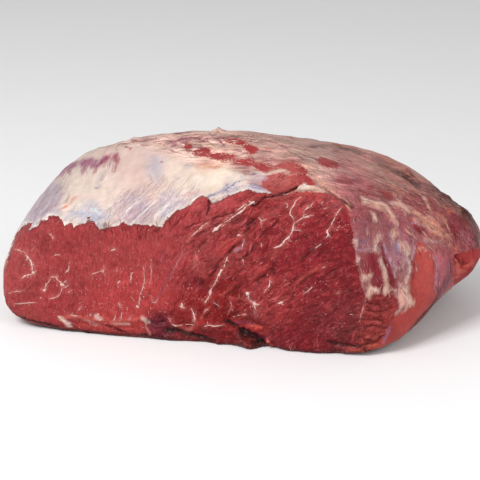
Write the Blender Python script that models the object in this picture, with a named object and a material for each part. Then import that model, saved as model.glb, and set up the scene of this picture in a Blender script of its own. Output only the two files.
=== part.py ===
"""A whole raw beef top round: one boneless muscle that lies on its flat underside.

Units are metres with +Z up, and the sizes below are in millimetres. The flat cut face looks along -Y,
the long way of the piece is X, and the origin is on the resting face under the middle of the piece.
"""

import bpy
import numpy as np

MM = 0.001
NODE = "beef_top_round"

# Place of the heart of the piece: every bound and every mark is seen from it.
HEART = (7.0, -10.0, 63.0)

# The muscle is a soft block. Each bound holds the direction in which it faces, as azimuth and elevation
# in degrees, and its distance from the heart.
BOUNDS = {
    "underside": (0, -90, 64),
    "belly left": (-165, -63, 152),
    "belly right": (-8, -47, 144),
    "belly back": (90, -45, 150),
    "crown": (103, 67, 79),
    "crown front": (-96, 66, 151),
    "fat cap front": (-100, 40, 124),
    "fat cap left": (-151, 55, 167),
    "shoulder left": (185, 55, 140),
    "shoulder right": (26, 41, 150),
    "shoulder back": (102, 36, 80),
    "slope right": (20, 69, 97),
    "end left": (183, 8, 200),
    "end right": (10, 0, 204),
    "flank": (-25, 14, 214),
    "flank front": (-46, 15, 155),
    "back": (95, 8, 133),
    "back right": (46, 19, 152),
    "back left": (139, 12, 182),
}
SOFTNESS = 12  # power of the soft block: a higher one has harder ridges

# The knife's face, which crosses the soft block with a much harder ridge.
CUT_FACE = (-90, 3.7, 114)
CUT_HARDNESS = 30

REST_LEVEL = 0.0  # everything under this height is pressed flat by the piece's own weight

# Grooves press into the surface: a route of points near it, half width and depth.
GROOVES = {
    "cleft between the muscles": ([(31, -120, 120), (49, -119, 129), (63, -117, 133)], 8, 5),
    "seam on the cut face": ([(22, -119, 124), (-9, -122, 96), (4, -123, 78), (-13, -126, 39)], 7, 1.6),
    "fold under the cut face": ([(7, -127, 21), (20, -127, 17), (30, -127, 10), (38, -127, 2)], 8, 7),
    "torn recess": ([(-64, -127, 16), (-44, -127, 17), (-30, -127, 11), (-18, -128, 7)], 8, 5),
    "fold at the right foot": ([(94, -127, 9), (109, -127, 15), (127, -125, 13)], 8, 4),
    "notch in the right end": ([(170, -60, 76), (174, -58, 66), (176, -54, 57)], 10, 4),
    "waist under the right end": ([(196, 5, 44), (187, -15, 33), (177, -35, 27), (165, -58, 26)], 22, 3),
    "dip behind the shoulder": ([(149, -10, 114), (159, -8, 107), (168, 12, 96)], 18, 4),
    "seam along the back": ([(-120, 60, 115), (-30, 95, 112), (60, 95, 110), (130, 70, 90)], 16, 4),
    "seam low on the back": ([(-90, 105, 55), (0, 122, 50), (90, 112, 45)], 18, 4),
    "seam on the left end": ([(-190, -20, 75), (-186, 25, 70), (-165, 60, 60)], 14, 3),
}

# Swells stand proud of the surface, given in the same way.
SWELLS = {
    "right end": ([(178, -45, 76), (188, -30, 70), (194, -12, 62)], 22, 2),
    "rim of the right end": ([(172, 5, 98), (184, 0, 86), (194, -10, 68)], 14, 2),
    "lip of the fat cap": ([(-162, -116, 85), (-115, -122, 97), (-50, -122, 98), (-22, -117, 122)], 9, 1.5),
    "lump on the crown": ([(-25, 15, 162), (-5, 18, 163)], 10, 2),
}

# The blank's corners, roughly the piece's own, spread the mesh so that its lines follow the ridges.
# Their order is left to right, then front to back, then bottom to top.
BLANK = {
    (-1, -1, -1): (-183, -125, 6),
    (1, -1, -1): (130, -125, 4),
    (-1, 1, -1): (-168, 105, 6),
    (1, 1, -1): (187, 125, 6),
    (-1, -1, 1): (-170, -113, 82),
    (1, -1, 1): (89, -112, 138),
    (-1, 1, 1): (-128, 45, 111),
    (1, 1, 1): (152, 85, 61),
}
CELLS = (42, 28, 20)  # mesh cells along the length, the depth and the height
CELL_GROWTH = 1.25  # power that makes the cells finer towards the cut face

LEAN_RED = (0.36, 0.045, 0.045, 1.0)  # linear colour
LEAN_ROUGHNESS = 0.38


def facing(azimuth, elevation):
    """Unit vector of a direction given in degrees."""
    a, e = np.radians((azimuth, elevation))
    return np.array([np.cos(a) * np.cos(e), np.sin(a) * np.cos(e), np.sin(e)])


def reach(rays):
    """Distance from the heart to the smooth surface along unit rays.

    Each bound gives ray . facing / distance, and the high power sum of these is a block with soft ridges.
    """
    natural = np.zeros(len(rays))
    for azimuth, elevation, distance in BOUNDS.values():
        natural += np.maximum(rays @ facing(azimuth, elevation) / distance, 0.0) ** SOFTNESS
    azimuth, elevation, distance = CUT_FACE
    knife = np.maximum(rays @ facing(azimuth, elevation) / distance, 0.0) ** CUT_HARDNESS
    return (natural ** (CUT_HARDNESS / SOFTNESS) + knife) ** (-1.0 / CUT_HARDNESS)


def on_surface(points):
    """The points moved along their rays from the heart onto the smooth surface."""
    rays = np.asarray(points, float) - HEART
    rays /= np.linalg.norm(rays, axis=1, keepdims=True)
    return HEART + rays * reach(rays)[:, None], rays


def distance_to_route(points, route):
    """Shortest distance from each point to the route's straight stretches."""
    nearest = np.full(len(points), np.inf)
    for start, end in zip(route[:-1], route[1:]):
        along = end - start
        share = np.clip((points - start) @ along / (along @ along), 0.0, 1.0)
        gap = np.linalg.norm(points - start - share[:, None] * along, axis=1)
        nearest = np.minimum(nearest, gap)
    return nearest


def relief(points):
    """Height over the smooth surface: bell-shaped swells less bell-shaped grooves."""
    height = np.zeros(len(points))
    for marks, sign in ((GROOVES, -1.0), (SWELLS, 1.0)):
        for route, half_width, depth in marks.values():
            gap = distance_to_route(points, on_surface(route)[0])
            height += sign * depth * np.exp(-((gap / half_width) ** 2))
    return height


def blank_mesh():
    """Points and quads of the blank, a closed box of cells between its eight corners, faces outwards."""
    sizes = np.array(CELLS)
    number = {}
    cells = []
    quads = []

    def index(cell):
        if cell not in number:
            number[cell] = len(cells)
            cells.append(cell)
        return number[cell]

    for axis in range(3):
        first, second = (axis + 1) % 3, (axis + 2) % 3
        for side in (0, sizes[axis]):
            for i in range(sizes[first]):
                for j in range(sizes[second]):
                    corners = []
                    for di, dj in ((0, 0), (1, 0), (1, 1), (0, 1)):
                        cell = [0, 0, 0]
                        cell[axis], cell[first], cell[second] = side, i + di, j + dj
                        corners.append(index(tuple(cell)))
                    quads.append(corners if side else corners[::-1])
    shares = np.array(cells) / sizes
    shares[:, 1] **= CELL_GROWTH
    shares = shares * 2.0 - 1.0
    points = np.zeros((len(cells), 3))
    for corner, place in BLANK.items():
        weight = np.prod((1.0 + shares * corner) / 2.0, axis=1)
        points += weight[:, None] * place
    return points, quads


def build_meat():
    points, quads = blank_mesh()
    points, rays = on_surface(points)
    points += rays * relief(points)[:, None]
    points[:, 2] = np.maximum(points[:, 2], REST_LEVEL)
    middle = (points.min(axis=0) + points.max(axis=0)) / 2.0
    points -= (middle[0], middle[1], REST_LEVEL)
    mesh = bpy.data.meshes.new(NODE)
    mesh.from_pydata((points * MM).tolist(), [], quads)
    mesh.update()
    mesh.shade_smooth()
    return mesh


def lean_material():
    material = bpy.data.materials.new("raw_beef")
    material.use_nodes = True
    shader = material.node_tree.nodes["Principled BSDF"]
    shader.inputs["Base Color"].default_value = LEAN_RED
    shader.inputs["Roughness"].default_value = LEAN_ROUGHNESS
    shader.inputs["Metallic"].default_value = 0.0
    return material


for old in list(bpy.data.objects):
    bpy.data.objects.remove(old)

meat = bpy.data.objects.new(NODE, build_meat())
meat.data.materials.append(lean_material())
bpy.context.scene.collection.objects.link(meat)
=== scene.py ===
import bpy
import numpy as np
from mathutils import Matrix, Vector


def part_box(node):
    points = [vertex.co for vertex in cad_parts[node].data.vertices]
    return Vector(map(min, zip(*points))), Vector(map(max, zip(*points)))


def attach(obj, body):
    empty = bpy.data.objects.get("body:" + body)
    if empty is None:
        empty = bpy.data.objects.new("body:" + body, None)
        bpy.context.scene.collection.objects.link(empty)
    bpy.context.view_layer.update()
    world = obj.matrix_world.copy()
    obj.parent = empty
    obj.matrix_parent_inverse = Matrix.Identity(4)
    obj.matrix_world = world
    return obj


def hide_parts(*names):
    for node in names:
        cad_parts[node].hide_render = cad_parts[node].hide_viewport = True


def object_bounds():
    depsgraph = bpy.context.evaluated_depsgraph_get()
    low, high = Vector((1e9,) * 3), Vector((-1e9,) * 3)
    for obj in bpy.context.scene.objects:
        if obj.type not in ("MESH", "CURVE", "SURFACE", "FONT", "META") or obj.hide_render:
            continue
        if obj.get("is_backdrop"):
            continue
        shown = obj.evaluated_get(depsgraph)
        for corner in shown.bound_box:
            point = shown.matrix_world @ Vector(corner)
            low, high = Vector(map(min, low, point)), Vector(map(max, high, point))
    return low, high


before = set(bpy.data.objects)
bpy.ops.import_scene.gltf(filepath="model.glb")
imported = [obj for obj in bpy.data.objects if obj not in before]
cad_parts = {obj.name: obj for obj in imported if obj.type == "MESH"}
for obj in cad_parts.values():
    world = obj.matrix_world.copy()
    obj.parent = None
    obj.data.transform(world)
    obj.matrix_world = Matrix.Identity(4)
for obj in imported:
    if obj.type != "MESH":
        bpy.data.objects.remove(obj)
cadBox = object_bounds()
mm = 0.001

# The camera looks at the target from so far away, and a pixel is a place in a square picture.
# Lengths are millimetres, in a frame whose origin lies `middle` away from the part's own.
view = {
    "azimuth": 12.0,
    "elevation": 20.0,
    "distance": 1250.0,
    "target": (2.0, -65.0, 71.0),
    "lens": 112.5,
    "sensor": 36.0,
    "pixels": 480,
    "middle": (0.734, 0.662, 0.0),
}

# The solid's own form: a soft block of bounds (azimuth, elevation, distance) seen from the heart,
# a hard knife face across it, grooves and swells (route, half width, depth), and the blank's corners.
form = {
    "heart": (7.0, -10.0, 63.0),
    "bounds": [
        (0, -90, 64), (-165, -63, 152), (-8, -47, 144), (90, -45, 150), (103, 67, 79), (-96, 66, 151),
        (-100, 40, 124), (-151, 55, 167), (185, 55, 140), (26, 41, 150), (102, 36, 80), (20, 69, 97),
        (183, 8, 200), (10, 0, 204), (-25, 14, 214), (-46, 15, 155), (95, 8, 133), (46, 19, 152),
        (139, 12, 182),
    ],
    "softness": 12,
    "cutFace": (-90, 3.7, 114),
    "cutHardness": 30,
    "grooves": [
        ([(31, -120, 120), (49, -119, 129), (63, -117, 133)], 8, 5),  # cleft between the muscles
        ([(22, -119, 124), (-9, -122, 96), (4, -123, 78), (-13, -126, 39)], 7, 1.6),  # seam on the cut face
        ([(7, -127, 21), (20, -127, 17), (30, -127, 10), (38, -127, 2)], 8, 7),  # fold under the cut face
        ([(-64, -127, 16), (-44, -127, 17), (-30, -127, 11), (-18, -128, 7)], 8, 5),  # torn recess
        ([(94, -127, 9), (109, -127, 15), (127, -125, 13)], 8, 4),  # fold at the right foot
        ([(170, -60, 76), (174, -58, 66), (176, -54, 57)], 10, 4),  # notch in the right end
        ([(196, 5, 44), (187, -15, 33), (177, -35, 27), (165, -58, 26)], 22, 3),  # waist under the right end
        ([(149, -10, 114), (159, -8, 107), (168, 12, 96)], 18, 4),  # dip behind the shoulder
        ([(-120, 60, 115), (-30, 95, 112), (60, 95, 110), (130, 70, 90)], 16, 4),  # seam along the back
        ([(-90, 105, 55), (0, 122, 50), (90, 112, 45)], 18, 4),  # seam low on the back
        ([(-190, -20, 75), (-186, 25, 70), (-165, 60, 60)], 14, 3),  # seam on the left end
    ],
    "swells": [
        ([(178, -45, 76), (188, -30, 70), (194, -12, 62)], 22, 2),  # right end
        ([(172, 5, 98), (184, 0, 86), (194, -10, 68)], 14, 2),  # rim of the right end
        ([(-162, -116, 85), (-115, -122, 97), (-50, -122, 98), (-22, -117, 122)], 9, 1.5),  # lip of the cap
        ([(-25, 15, 162), (-5, 18, 163)], 10, 2),  # lump on the crown
    ],
    "corners": {
        (-1, -1, -1): (-183, -125, 6), (1, -1, -1): (130, -125, 4),
        (-1, 1, -1): (-168, 105, 6), (1, 1, -1): (187, 125, 6),
        (-1, -1, 1): (-170, -113, 82), (1, -1, 1): (89, -112, 138),
        (-1, 1, 1): (-128, 45, 111), (1, 1, 1): (152, 85, 61),
    },
    "cells": (300, 90, 110),
    "growth": 1.35,  # the cells grow towards the back
}
heart = np.array(form["heart"])


def facing(azimuth, elevation):
    # Unit vector of a direction given in degrees.
    a, e = np.radians((azimuth, elevation))
    return np.array([np.cos(a) * np.cos(e), np.sin(a) * np.cos(e), np.sin(e)])


def unit(vectors):
    return vectors / np.linalg.norm(vectors, axis=-1, keepdims=True)


def ramp(values, low, high):
    # 0 below low, 1 above high, and a smooth s = t^2 (3 - 2t) between them.
    t = np.clip((values - low) / (high - low), 0.0, 1.0)
    return t * t * (3.0 - 2.0 * t)


def mixed(first, second, share):
    # The first where the share is 0 and the second where it is 1, for numbers, arrays and wires.
    return first + (second - first) * share


back = facing(view["azimuth"] - 90.0, view["elevation"])
right = facing(view["azimuth"], 0.0)
up = np.cross(back, right)
eye = np.array(view["target"]) + back * view["distance"]
focal = view["pixels"] * view["lens"] / view["sensor"]


def toPixels(places):
    # Perspective picture of places: the offsets right and down over the depth, times the focal length.
    off = places - eye
    depth = -(off @ back)
    across = view["pixels"] / 2 + focal * (off @ right) / depth
    down = view["pixels"] / 2 - focal * (off @ up) / depth
    return np.stack((across, down), axis=1)


def reach(rays):
    # Distance from the heart to the smooth surface: the high power sum of ray . facing / distance.
    natural = np.zeros(len(rays))
    for azimuth, elevation, distance in form["bounds"]:
        natural += np.maximum(rays @ facing(azimuth, elevation) / distance, 0.0) ** form["softness"]
    azimuth, elevation, distance = form["cutFace"]
    knife = np.maximum(rays @ facing(azimuth, elevation) / distance, 0.0) ** form["cutHardness"]
    return (natural ** (form["cutHardness"] / form["softness"]) + knife) ** (-1.0 / form["cutHardness"])


farOff = 12.0  # pixels, the longest distance to an edge that is measured


def offRoute(points, route, limit=np.inf):
    # Shortest distance from each point to the route's straight stretches, inf beyond the limit.
    route = np.asarray(route, float).reshape(-1, points.shape[1])
    gap = np.full(len(points), np.inf)
    near = np.all((points > route.min(0) - limit) & (points < route.max(0) + limit), axis=1)
    close = points[near]
    nearest = np.linalg.norm(close - route[0], axis=1)
    for start, end in zip(route[:-1], route[1:]):
        along = end - start
        share = np.clip((close - start) @ along / (along @ along), 0.0, 1.0)
        nearest = np.minimum(nearest, np.linalg.norm(close - start - share[:, None] * along, axis=1))
    gap[near] = nearest
    return gap


def nearRoute(points, route):
    return np.minimum(offRoute(points, route, farOff), farOff)


def bell(points, route, halfWidth):
    # 1 on the route, and exp(-(distance / half width)^2) beside it.
    return np.exp(-((offRoute(points, route, 3 * halfWidth) / halfWidth) ** 2))


def inOutline(points, outline):
    # Signed distance to a closed outline, positive inside, where a ray to the right crosses it an odd
    # number of times, and at most farOff.
    corners = np.asarray(outline, float)
    inside = np.zeros(len(points), bool)
    near = np.all((points > corners.min(0)) & (points < corners.max(0)), axis=1)
    x, y = points[near].T
    odd = np.zeros(len(x), bool)
    for (x0, y0), (x1, y1) in zip(corners, np.roll(corners, -1, axis=0)):
        if y0 != y1:
            odd ^= ((y0 > y) != (y1 > y)) & (x < x0 + (y - y0) * (x1 - x0) / (y1 - y0))
    inside[near] = odd
    gap = nearRoute(points, list(outline) + [outline[0]])
    return np.where(inside, gap, -gap)


draws = np.random.default_rng(11)
shuffled = draws.permutation(256)
slopes = unit(draws.normal(size=(256, 3)))
seedShift = 31.7
noiseGain = 1.7


def noise(places, size, seed=0):
    # Gradient noise from about -1 to 1: each lattice corner has a random slope, and the corners are blended
    # by s = t^3 (6t^2 - 15t + 10). Each seed looks at another part of the lattice.
    scaled = places / size + seed * seedShift
    cell = np.floor(scaled).astype(int)
    inside = scaled - cell
    blend = inside ** 3 * (inside * (inside * 6 - 15) + 10)
    total = np.zeros(len(places))
    for corner in np.ndindex(2, 2, 2):
        x, y, z = ((cell + corner) & 255).T
        pick = shuffled[(shuffled[(shuffled[x] + y) & 255] + z) & 255]
        share = np.prod(np.where(corner, blend, 1 - blend), axis=1)
        total += share * np.sum(slopes[pick] * (inside - corner), axis=1)
    return total * noiseGain


def stretched(places, direction, stretch):
    # Places squeezed along a direction, so that noise on them is drawn out along it.
    direction = unit(np.asarray(direction, float))
    along = places @ direction
    return places - np.outer(along, direction) * (1.0 - 1.0 / stretch)


def rowsOf(groups):
    # Rows of one kind share their values, and each of their routes becomes a row.
    return [(*kind, route) for *kind, routes in groups for route in routes]


# What shows in the picture, as sRGB colours and pixel places. Dabs are (colour, radius, middle), soft
# changes of tone. Areas are (colour, softness, strength, outline) and lines (colour, half width, strength,
# routes). Outlines close on themselves.
capEdge = [
    (8, 258), (11, 248), (15, 235), (23, 226), (28, 223), (32, 224), (32, 226), (29, 231), (33, 228),
    (38, 225), (41, 221), (47, 220), (49, 217), (54, 216), (59, 217), (62, 220), (65, 226), (67, 224),
    (72, 223), (74, 228), (76, 225), (86, 223), (87, 218), (90, 216), (89, 222), (91, 220), (94, 221),
    (96, 226), (100, 230), (106, 228), (117, 226), (123, 222), (127, 225), (132, 226), (134, 224),
    (143, 225), (149, 224), (150, 227), (153, 224), (157, 227), (162, 227), (165, 222), (171, 216),
    (177, 211), (187, 207), (191, 204), (195, 200), (201, 196), (207, 197), (210, 200), (213, 204),
    (216, 203), (222, 200), (228, 196), (235, 194), (242, 191), (249, 189), (253, 192), (263, 193),
    (271, 193),
]
cutTop = [(273, 194), (286, 195), (297, 191), (318, 192), (331, 195), (341, 200)]
cutRight = [
    (346, 208), (350, 220), (354, 240), (356, 262), (361, 284), (366, 298), (371, 294), (379, 293),
    (385, 295), (393, 295), (397, 299), (398, 305),
]
capTop = [
    (264, 190), (258, 186), (251, 183), (247, 178), (244, 174), (240, 171), (228, 168), (215, 166),
    (204, 166), (196, 168), (188, 165), (180, 160), (172, 156), (160, 151), (150, 148), (140, 147),
    (130, 146), (120, 148), (112, 149), (104, 146), (96, 138), (60, 138), (-4, 190), (-8, 262), (4, 263),
]

footFolds = [
    [(366, 304), (374, 305), (384, 302)], [(365, 311), (376, 312), (386, 310)],
    [(362, 320), (372, 319), (384, 321)], [(366, 327), (376, 326), (386, 327)],
]
meatLines = rowsOf([
    ((178, 60, 60), 1, 0.5, [[(343, 207), (347, 214), (350, 227), (351, 234)]]),
    # paler lines, in part painted highlight on the ridges beside the creases
    ((178, 88, 82), 1.2, 0.5, [[(262, 198), (286, 199), (300, 194), (330, 197)], [(211, 206), (210, 220)],
     [(212, 238), (204, 246), (197, 252)], [(232, 262), (226, 270), (222, 278)]]),
    # dark lines: painted shade in the cleft and the creases
    ((64, 20, 24), 1.2, 0.9, [[(249, 205), (256, 205), (260, 202), (264, 198), (278, 196), (285, 194),
     (296, 188)], [(253, 220), (250, 223), (246, 226)]]),
    ((84, 26, 30), 1.1, 0.8, [[(209, 201), (208, 208), (207, 215)], [(236, 214), (227, 215), (219, 217),
     (213, 220)], [(186, 228), (195, 223)], [(254, 225), (247, 230), (242, 234)], [(274, 266), (274, 273)]]),
    ((96, 32, 36), 0.9, 0.6, [[(222, 223), (215, 227)], [(235, 233), (230, 237)]]),
    ((198, 110, 102), 1.6, 0.6, [[(208, 223), (200, 230), (195, 233), (191, 236), (186, 242)], [(196, 255),
     (195, 262), (194, 269)]]),
    ((204, 118, 110), 1.3, 0.6, [[(235, 236), (241, 235)]]),
    # a ridge in painted highlight, with painted shade in the groove below it
    ((182, 62, 60), 4.2, 0.6, [[(222, 251), (230, 245), (237, 240)]]),
    ((198, 90, 84), 1.2, 0.5, [[(221, 247), (228, 241), (236, 238)], [(260, 258), (253, 261), (248, 264)]]),
    ((84, 22, 28), 1.5, 0.9, [[(235, 246), (230, 251), (227, 255)]]),
    ((190, 150, 172), 1.1, 0.7, [[(244, 241), (242, 247), (234, 252)]]),
    # pale red lines: painted highlight on ridges
    ((190, 80, 76), 1.6, 0.5, [[(262, 224), (256, 230), (250, 236)], [(222, 296), (229, 290), (238, 284)],
     [(250, 279), (258, 272), (268, 265)]]),
    # dark lines: painted shade in creases
    ((94, 26, 32), 1.4, 0.6, [[(206, 240), (199, 248), (194, 256)], [(222, 260), (216, 268), (211, 276)],
     [(226, 296), (233, 289), (240, 282)], [(255, 282), (262, 276), (272, 270)], [(238, 262), (246, 256),
     (256, 246)], [(300, 262), (312, 252), (322, 246)], [(318, 282), (330, 272), (342, 266)], [(262, 236),
     (270, 228), (278, 222)]]),
    ((88, 22, 28), 3, 0.7, [[(197, 280), (201, 283), (203, 286)]]),
    ((86, 22, 28), 2, 0.8, [[(215, 302), (217, 308)]]),
    ((206, 106, 92), 1.3, 0.6, [[(202, 299), (203, 301)]]),
    ((120, 36, 44), 7, 0.5, [[(188, 278), (202, 288)]]),
    ((150, 84, 100), 1, 0.5, [[(183, 251), (176, 264), (169, 278), (162, 290), (154, 302)], [(164, 250),
     (162, 262)]]),
    ((186, 84, 78), 2.5, 0.5, [[(286, 244), (270, 256)], [(298, 282), (310, 272), (322, 264)]]),
    ((186, 88, 84), 2, 0.5, [[(230, 298), (246, 300), (262, 304)]]),
    ((176, 126, 142), 0.9, 0.6, [[(248, 293), (253, 303), (255, 316)]]),
    # foot of the cut face, with painted shadow in its crevices and along its lower edge
    ((118, 36, 40), 8, 0.75, [[(200, 334), (216, 334), (232, 336)]]),
    ((112, 38, 38), 6, 0.8, [[(238, 340), (248, 344), (258, 348)]]),
    ((30, 8, 10), 2.2, 0.95, [[(227, 322), (234, 325.5), (243, 331)], [(262, 344), (269, 350)]]),
    ((34, 10, 12), 4.4, 0.95, [[(242, 332), (250, 336), (257, 341), (264, 345.5)]]),
    ((150, 66, 62), 1.2, 0.7, [[(246, 344.5), (252, 347.5), (259, 350)]]),
    ((128, 60, 78), 1.6, 0.7, [[(237, 322), (245, 322.5), (253, 323.5)]]),
    ((92, 32, 56), 2.2, 0.85, [[(255, 335), (262, 337.5), (269, 340)]]),
    ((196, 66, 60), 2.8, 0.85, [[(249, 326.5), (254, 330), (260, 328)]]),
    ((214, 96, 84), 0.9, 0.8, [[(248.5, 326), (255, 326.6), (261, 327)], [(233, 317), (240, 315.4),
     (246.6, 314.8)]]),
    ((206, 78, 66), 1.8, 0.9, [[(268, 341), (271, 345), (274, 349)]]),
    ((222, 128, 108), 0.8, 0.8, [[(268, 340), (270, 342)]]),
    ((202, 98, 88), 1.3, 0.6, [[(208.6, 308.4), (205, 312.4), (201, 318)], [(60, 317), (70, 316), (88, 318),
     (104, 320), (126, 321), (144, 318)]]),
    ((186, 64, 58), 3, 0.7, [[(197, 326), (200, 324), (202, 322)]]),
    ((98, 34, 46), 5, 0.75, [[(150, 322), (160, 322), (168, 326)]]),
    ((44, 14, 16), 3.4, 0.95, [[(168, 332), (176, 331), (186, 334), (198, 338), (210, 343)]]),
    ((84, 30, 36), 2.4, 0.7, [[(148, 334), (160, 337), (172, 338)]]),
    ((206, 130, 116), 1, 0.7, [[(144, 316), (147, 323), (146, 327), (150, 333)]]),
    ((60, 20, 20), 1.2, 0.9, [[(328, 342), (336, 345), (345, 346), (355, 347), (366, 346), (377, 343),
     (383, 337)], [(362, 350), (372, 351), (380, 349)], [(6, 309), (14, 317), (32, 320), (51, 325),
     (63, 329), (82, 332), (110, 334), (148, 335)]]),
    ((190, 84, 70), 1.6, 0.8, [[(347, 350), (354, 350), (362, 352)], [(367, 349), (376, 347), (384, 345)]]),
    ((156, 62, 58), 6, 0.5, [[(64, 324), (86, 327), (112, 329), (134, 328)]]),
    ((88, 28, 28), 1.1, 0.8, [[(106, 325), (118, 330), (127, 332)]]),
    # lean patch at the right foot, with painted shade in its folds and painted highlight on the ridges
    # between
    ((168, 62, 58), 2, 0.6, [[(398, 300), (397, 312), (391, 322), (386, 333), (380, 342)]]),
    ((182, 116, 142), 1.4, 0.8, [[(389, 327), (386, 336), (383, 344)]]),
    ((98, 32, 34), 1, 0.75, footFolds),
    ((92, 28, 30), 1.4, 0.8, [[(364, 340), (372, 340)]]),
    ((188, 88, 82), 1, 0.6, [[(364, 314), (374, 315), (384, 314)], [(366, 323), (376, 322), (382, 323)],
     [(356, 331), (352, 338)]]),
    # the lower lobe of the right end, with painted shade in its folds and painted highlight on their ridges
    ((96, 26, 26), 1, 0.85, [[(455, 255), (459, 259), (461, 265), (461, 269)]]),
    ((104, 30, 28), 0.9, 0.7, [[(463, 255), (466, 260), (466, 266), (462, 271)]]),
    ((206, 96, 82), 0.8, 0.6, [[(468, 255), (470, 260), (468, 266)]]),
    ((208, 108, 94), 1.2, 0.8, [[(453, 256), (456, 261), (458, 267), (458, 273)], [(457, 278), (461, 272),
     (467, 267)]]),
    ((192, 84, 70), 1.4, 0.7, [[(469, 255), (471, 261), (469, 267)]]),
    ((120, 36, 38), 1.4, 0.7, [[(482, 246), (480, 257), (474, 268), (466, 275)]]),
    ((200, 108, 98), 0.8, 0.7, [[(455, 258), (457.5, 262), (459, 267), (458, 271)], [(462, 273), (466, 270)],
     [(469, 268), (472, 263)]]),
    ((112, 30, 34), 1.2, 0.7, [[(461, 259), (463, 262), (462, 267)], [(466, 264), (469, 262)]]),
    # smooth muscle beside it: painted shade along its left edge and painted light over its middle
    ((150, 54, 52), 2.6, 0.6, [[(415, 252), (413, 268), (412, 286)]]),
    ((206, 94, 84), 4, 0.3, [[(428, 262), (430, 276), (427, 292)]]),
    ((214, 150, 136), 1.3, 0.7, [[(419, 250), (423, 248), (427, 251)]]),
    # painted shadow along the lower edge
    ((58, 18, 18), 1.2, 0.8, [[(440, 296), (426, 312), (408, 332), (394, 346)]]),
])
# soft tones of the cut face; the darkening towards the lower right is in part the meat's own colour and in
# part painted shade
meatDabs = [
    ((171, 74, 75), 24, (18, 262)), ((158, 61, 63), 28, (60, 250)), ((160, 60, 63), 24, (42, 300)),
    ((170, 67, 68), 28, (112, 258)), ((180, 66, 66), 26, (122, 302)), ((161, 64, 66), 28, (188, 242)),
    ((133, 30, 36), 24, (214, 310)), ((164, 58, 60), 24, (296, 208)), ((139, 40, 48), 28, (308, 242)),
    ((129, 39, 44), 32, (330, 276)), ((122, 48, 52), 22, (338, 320)), ((154, 56, 59), 18, (276, 298)),
    ((122, 36, 42), 20, (302, 340)), ((184, 78, 80), 16, (208, 208)), ((152, 70, 74), 8, (335, 202)),
    ((190, 100, 94), 12, (285, 182)), ((153, 58, 57), 16, (380, 318)), ((188, 82, 76), 16, (425, 268)),
    ((182, 74, 68), 14, (408, 318)), ((168, 72, 66), 14, (380, 350)), ((164, 58, 60), 15, (466, 261)),
    ((112, 42, 56), 9, (158, 326)), ((150, 66, 64), 10, (30, 314)), ((146, 54, 54), 14, (250, 330)),
    ((166, 64, 66), 30, (232, 148)), ((166, 64, 66), 14, (328, 163)),
]
meatPaint = {"base": (156, 58, 60), "areas": [], "dabs": meatDabs, "strokes": meatLines}

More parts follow.
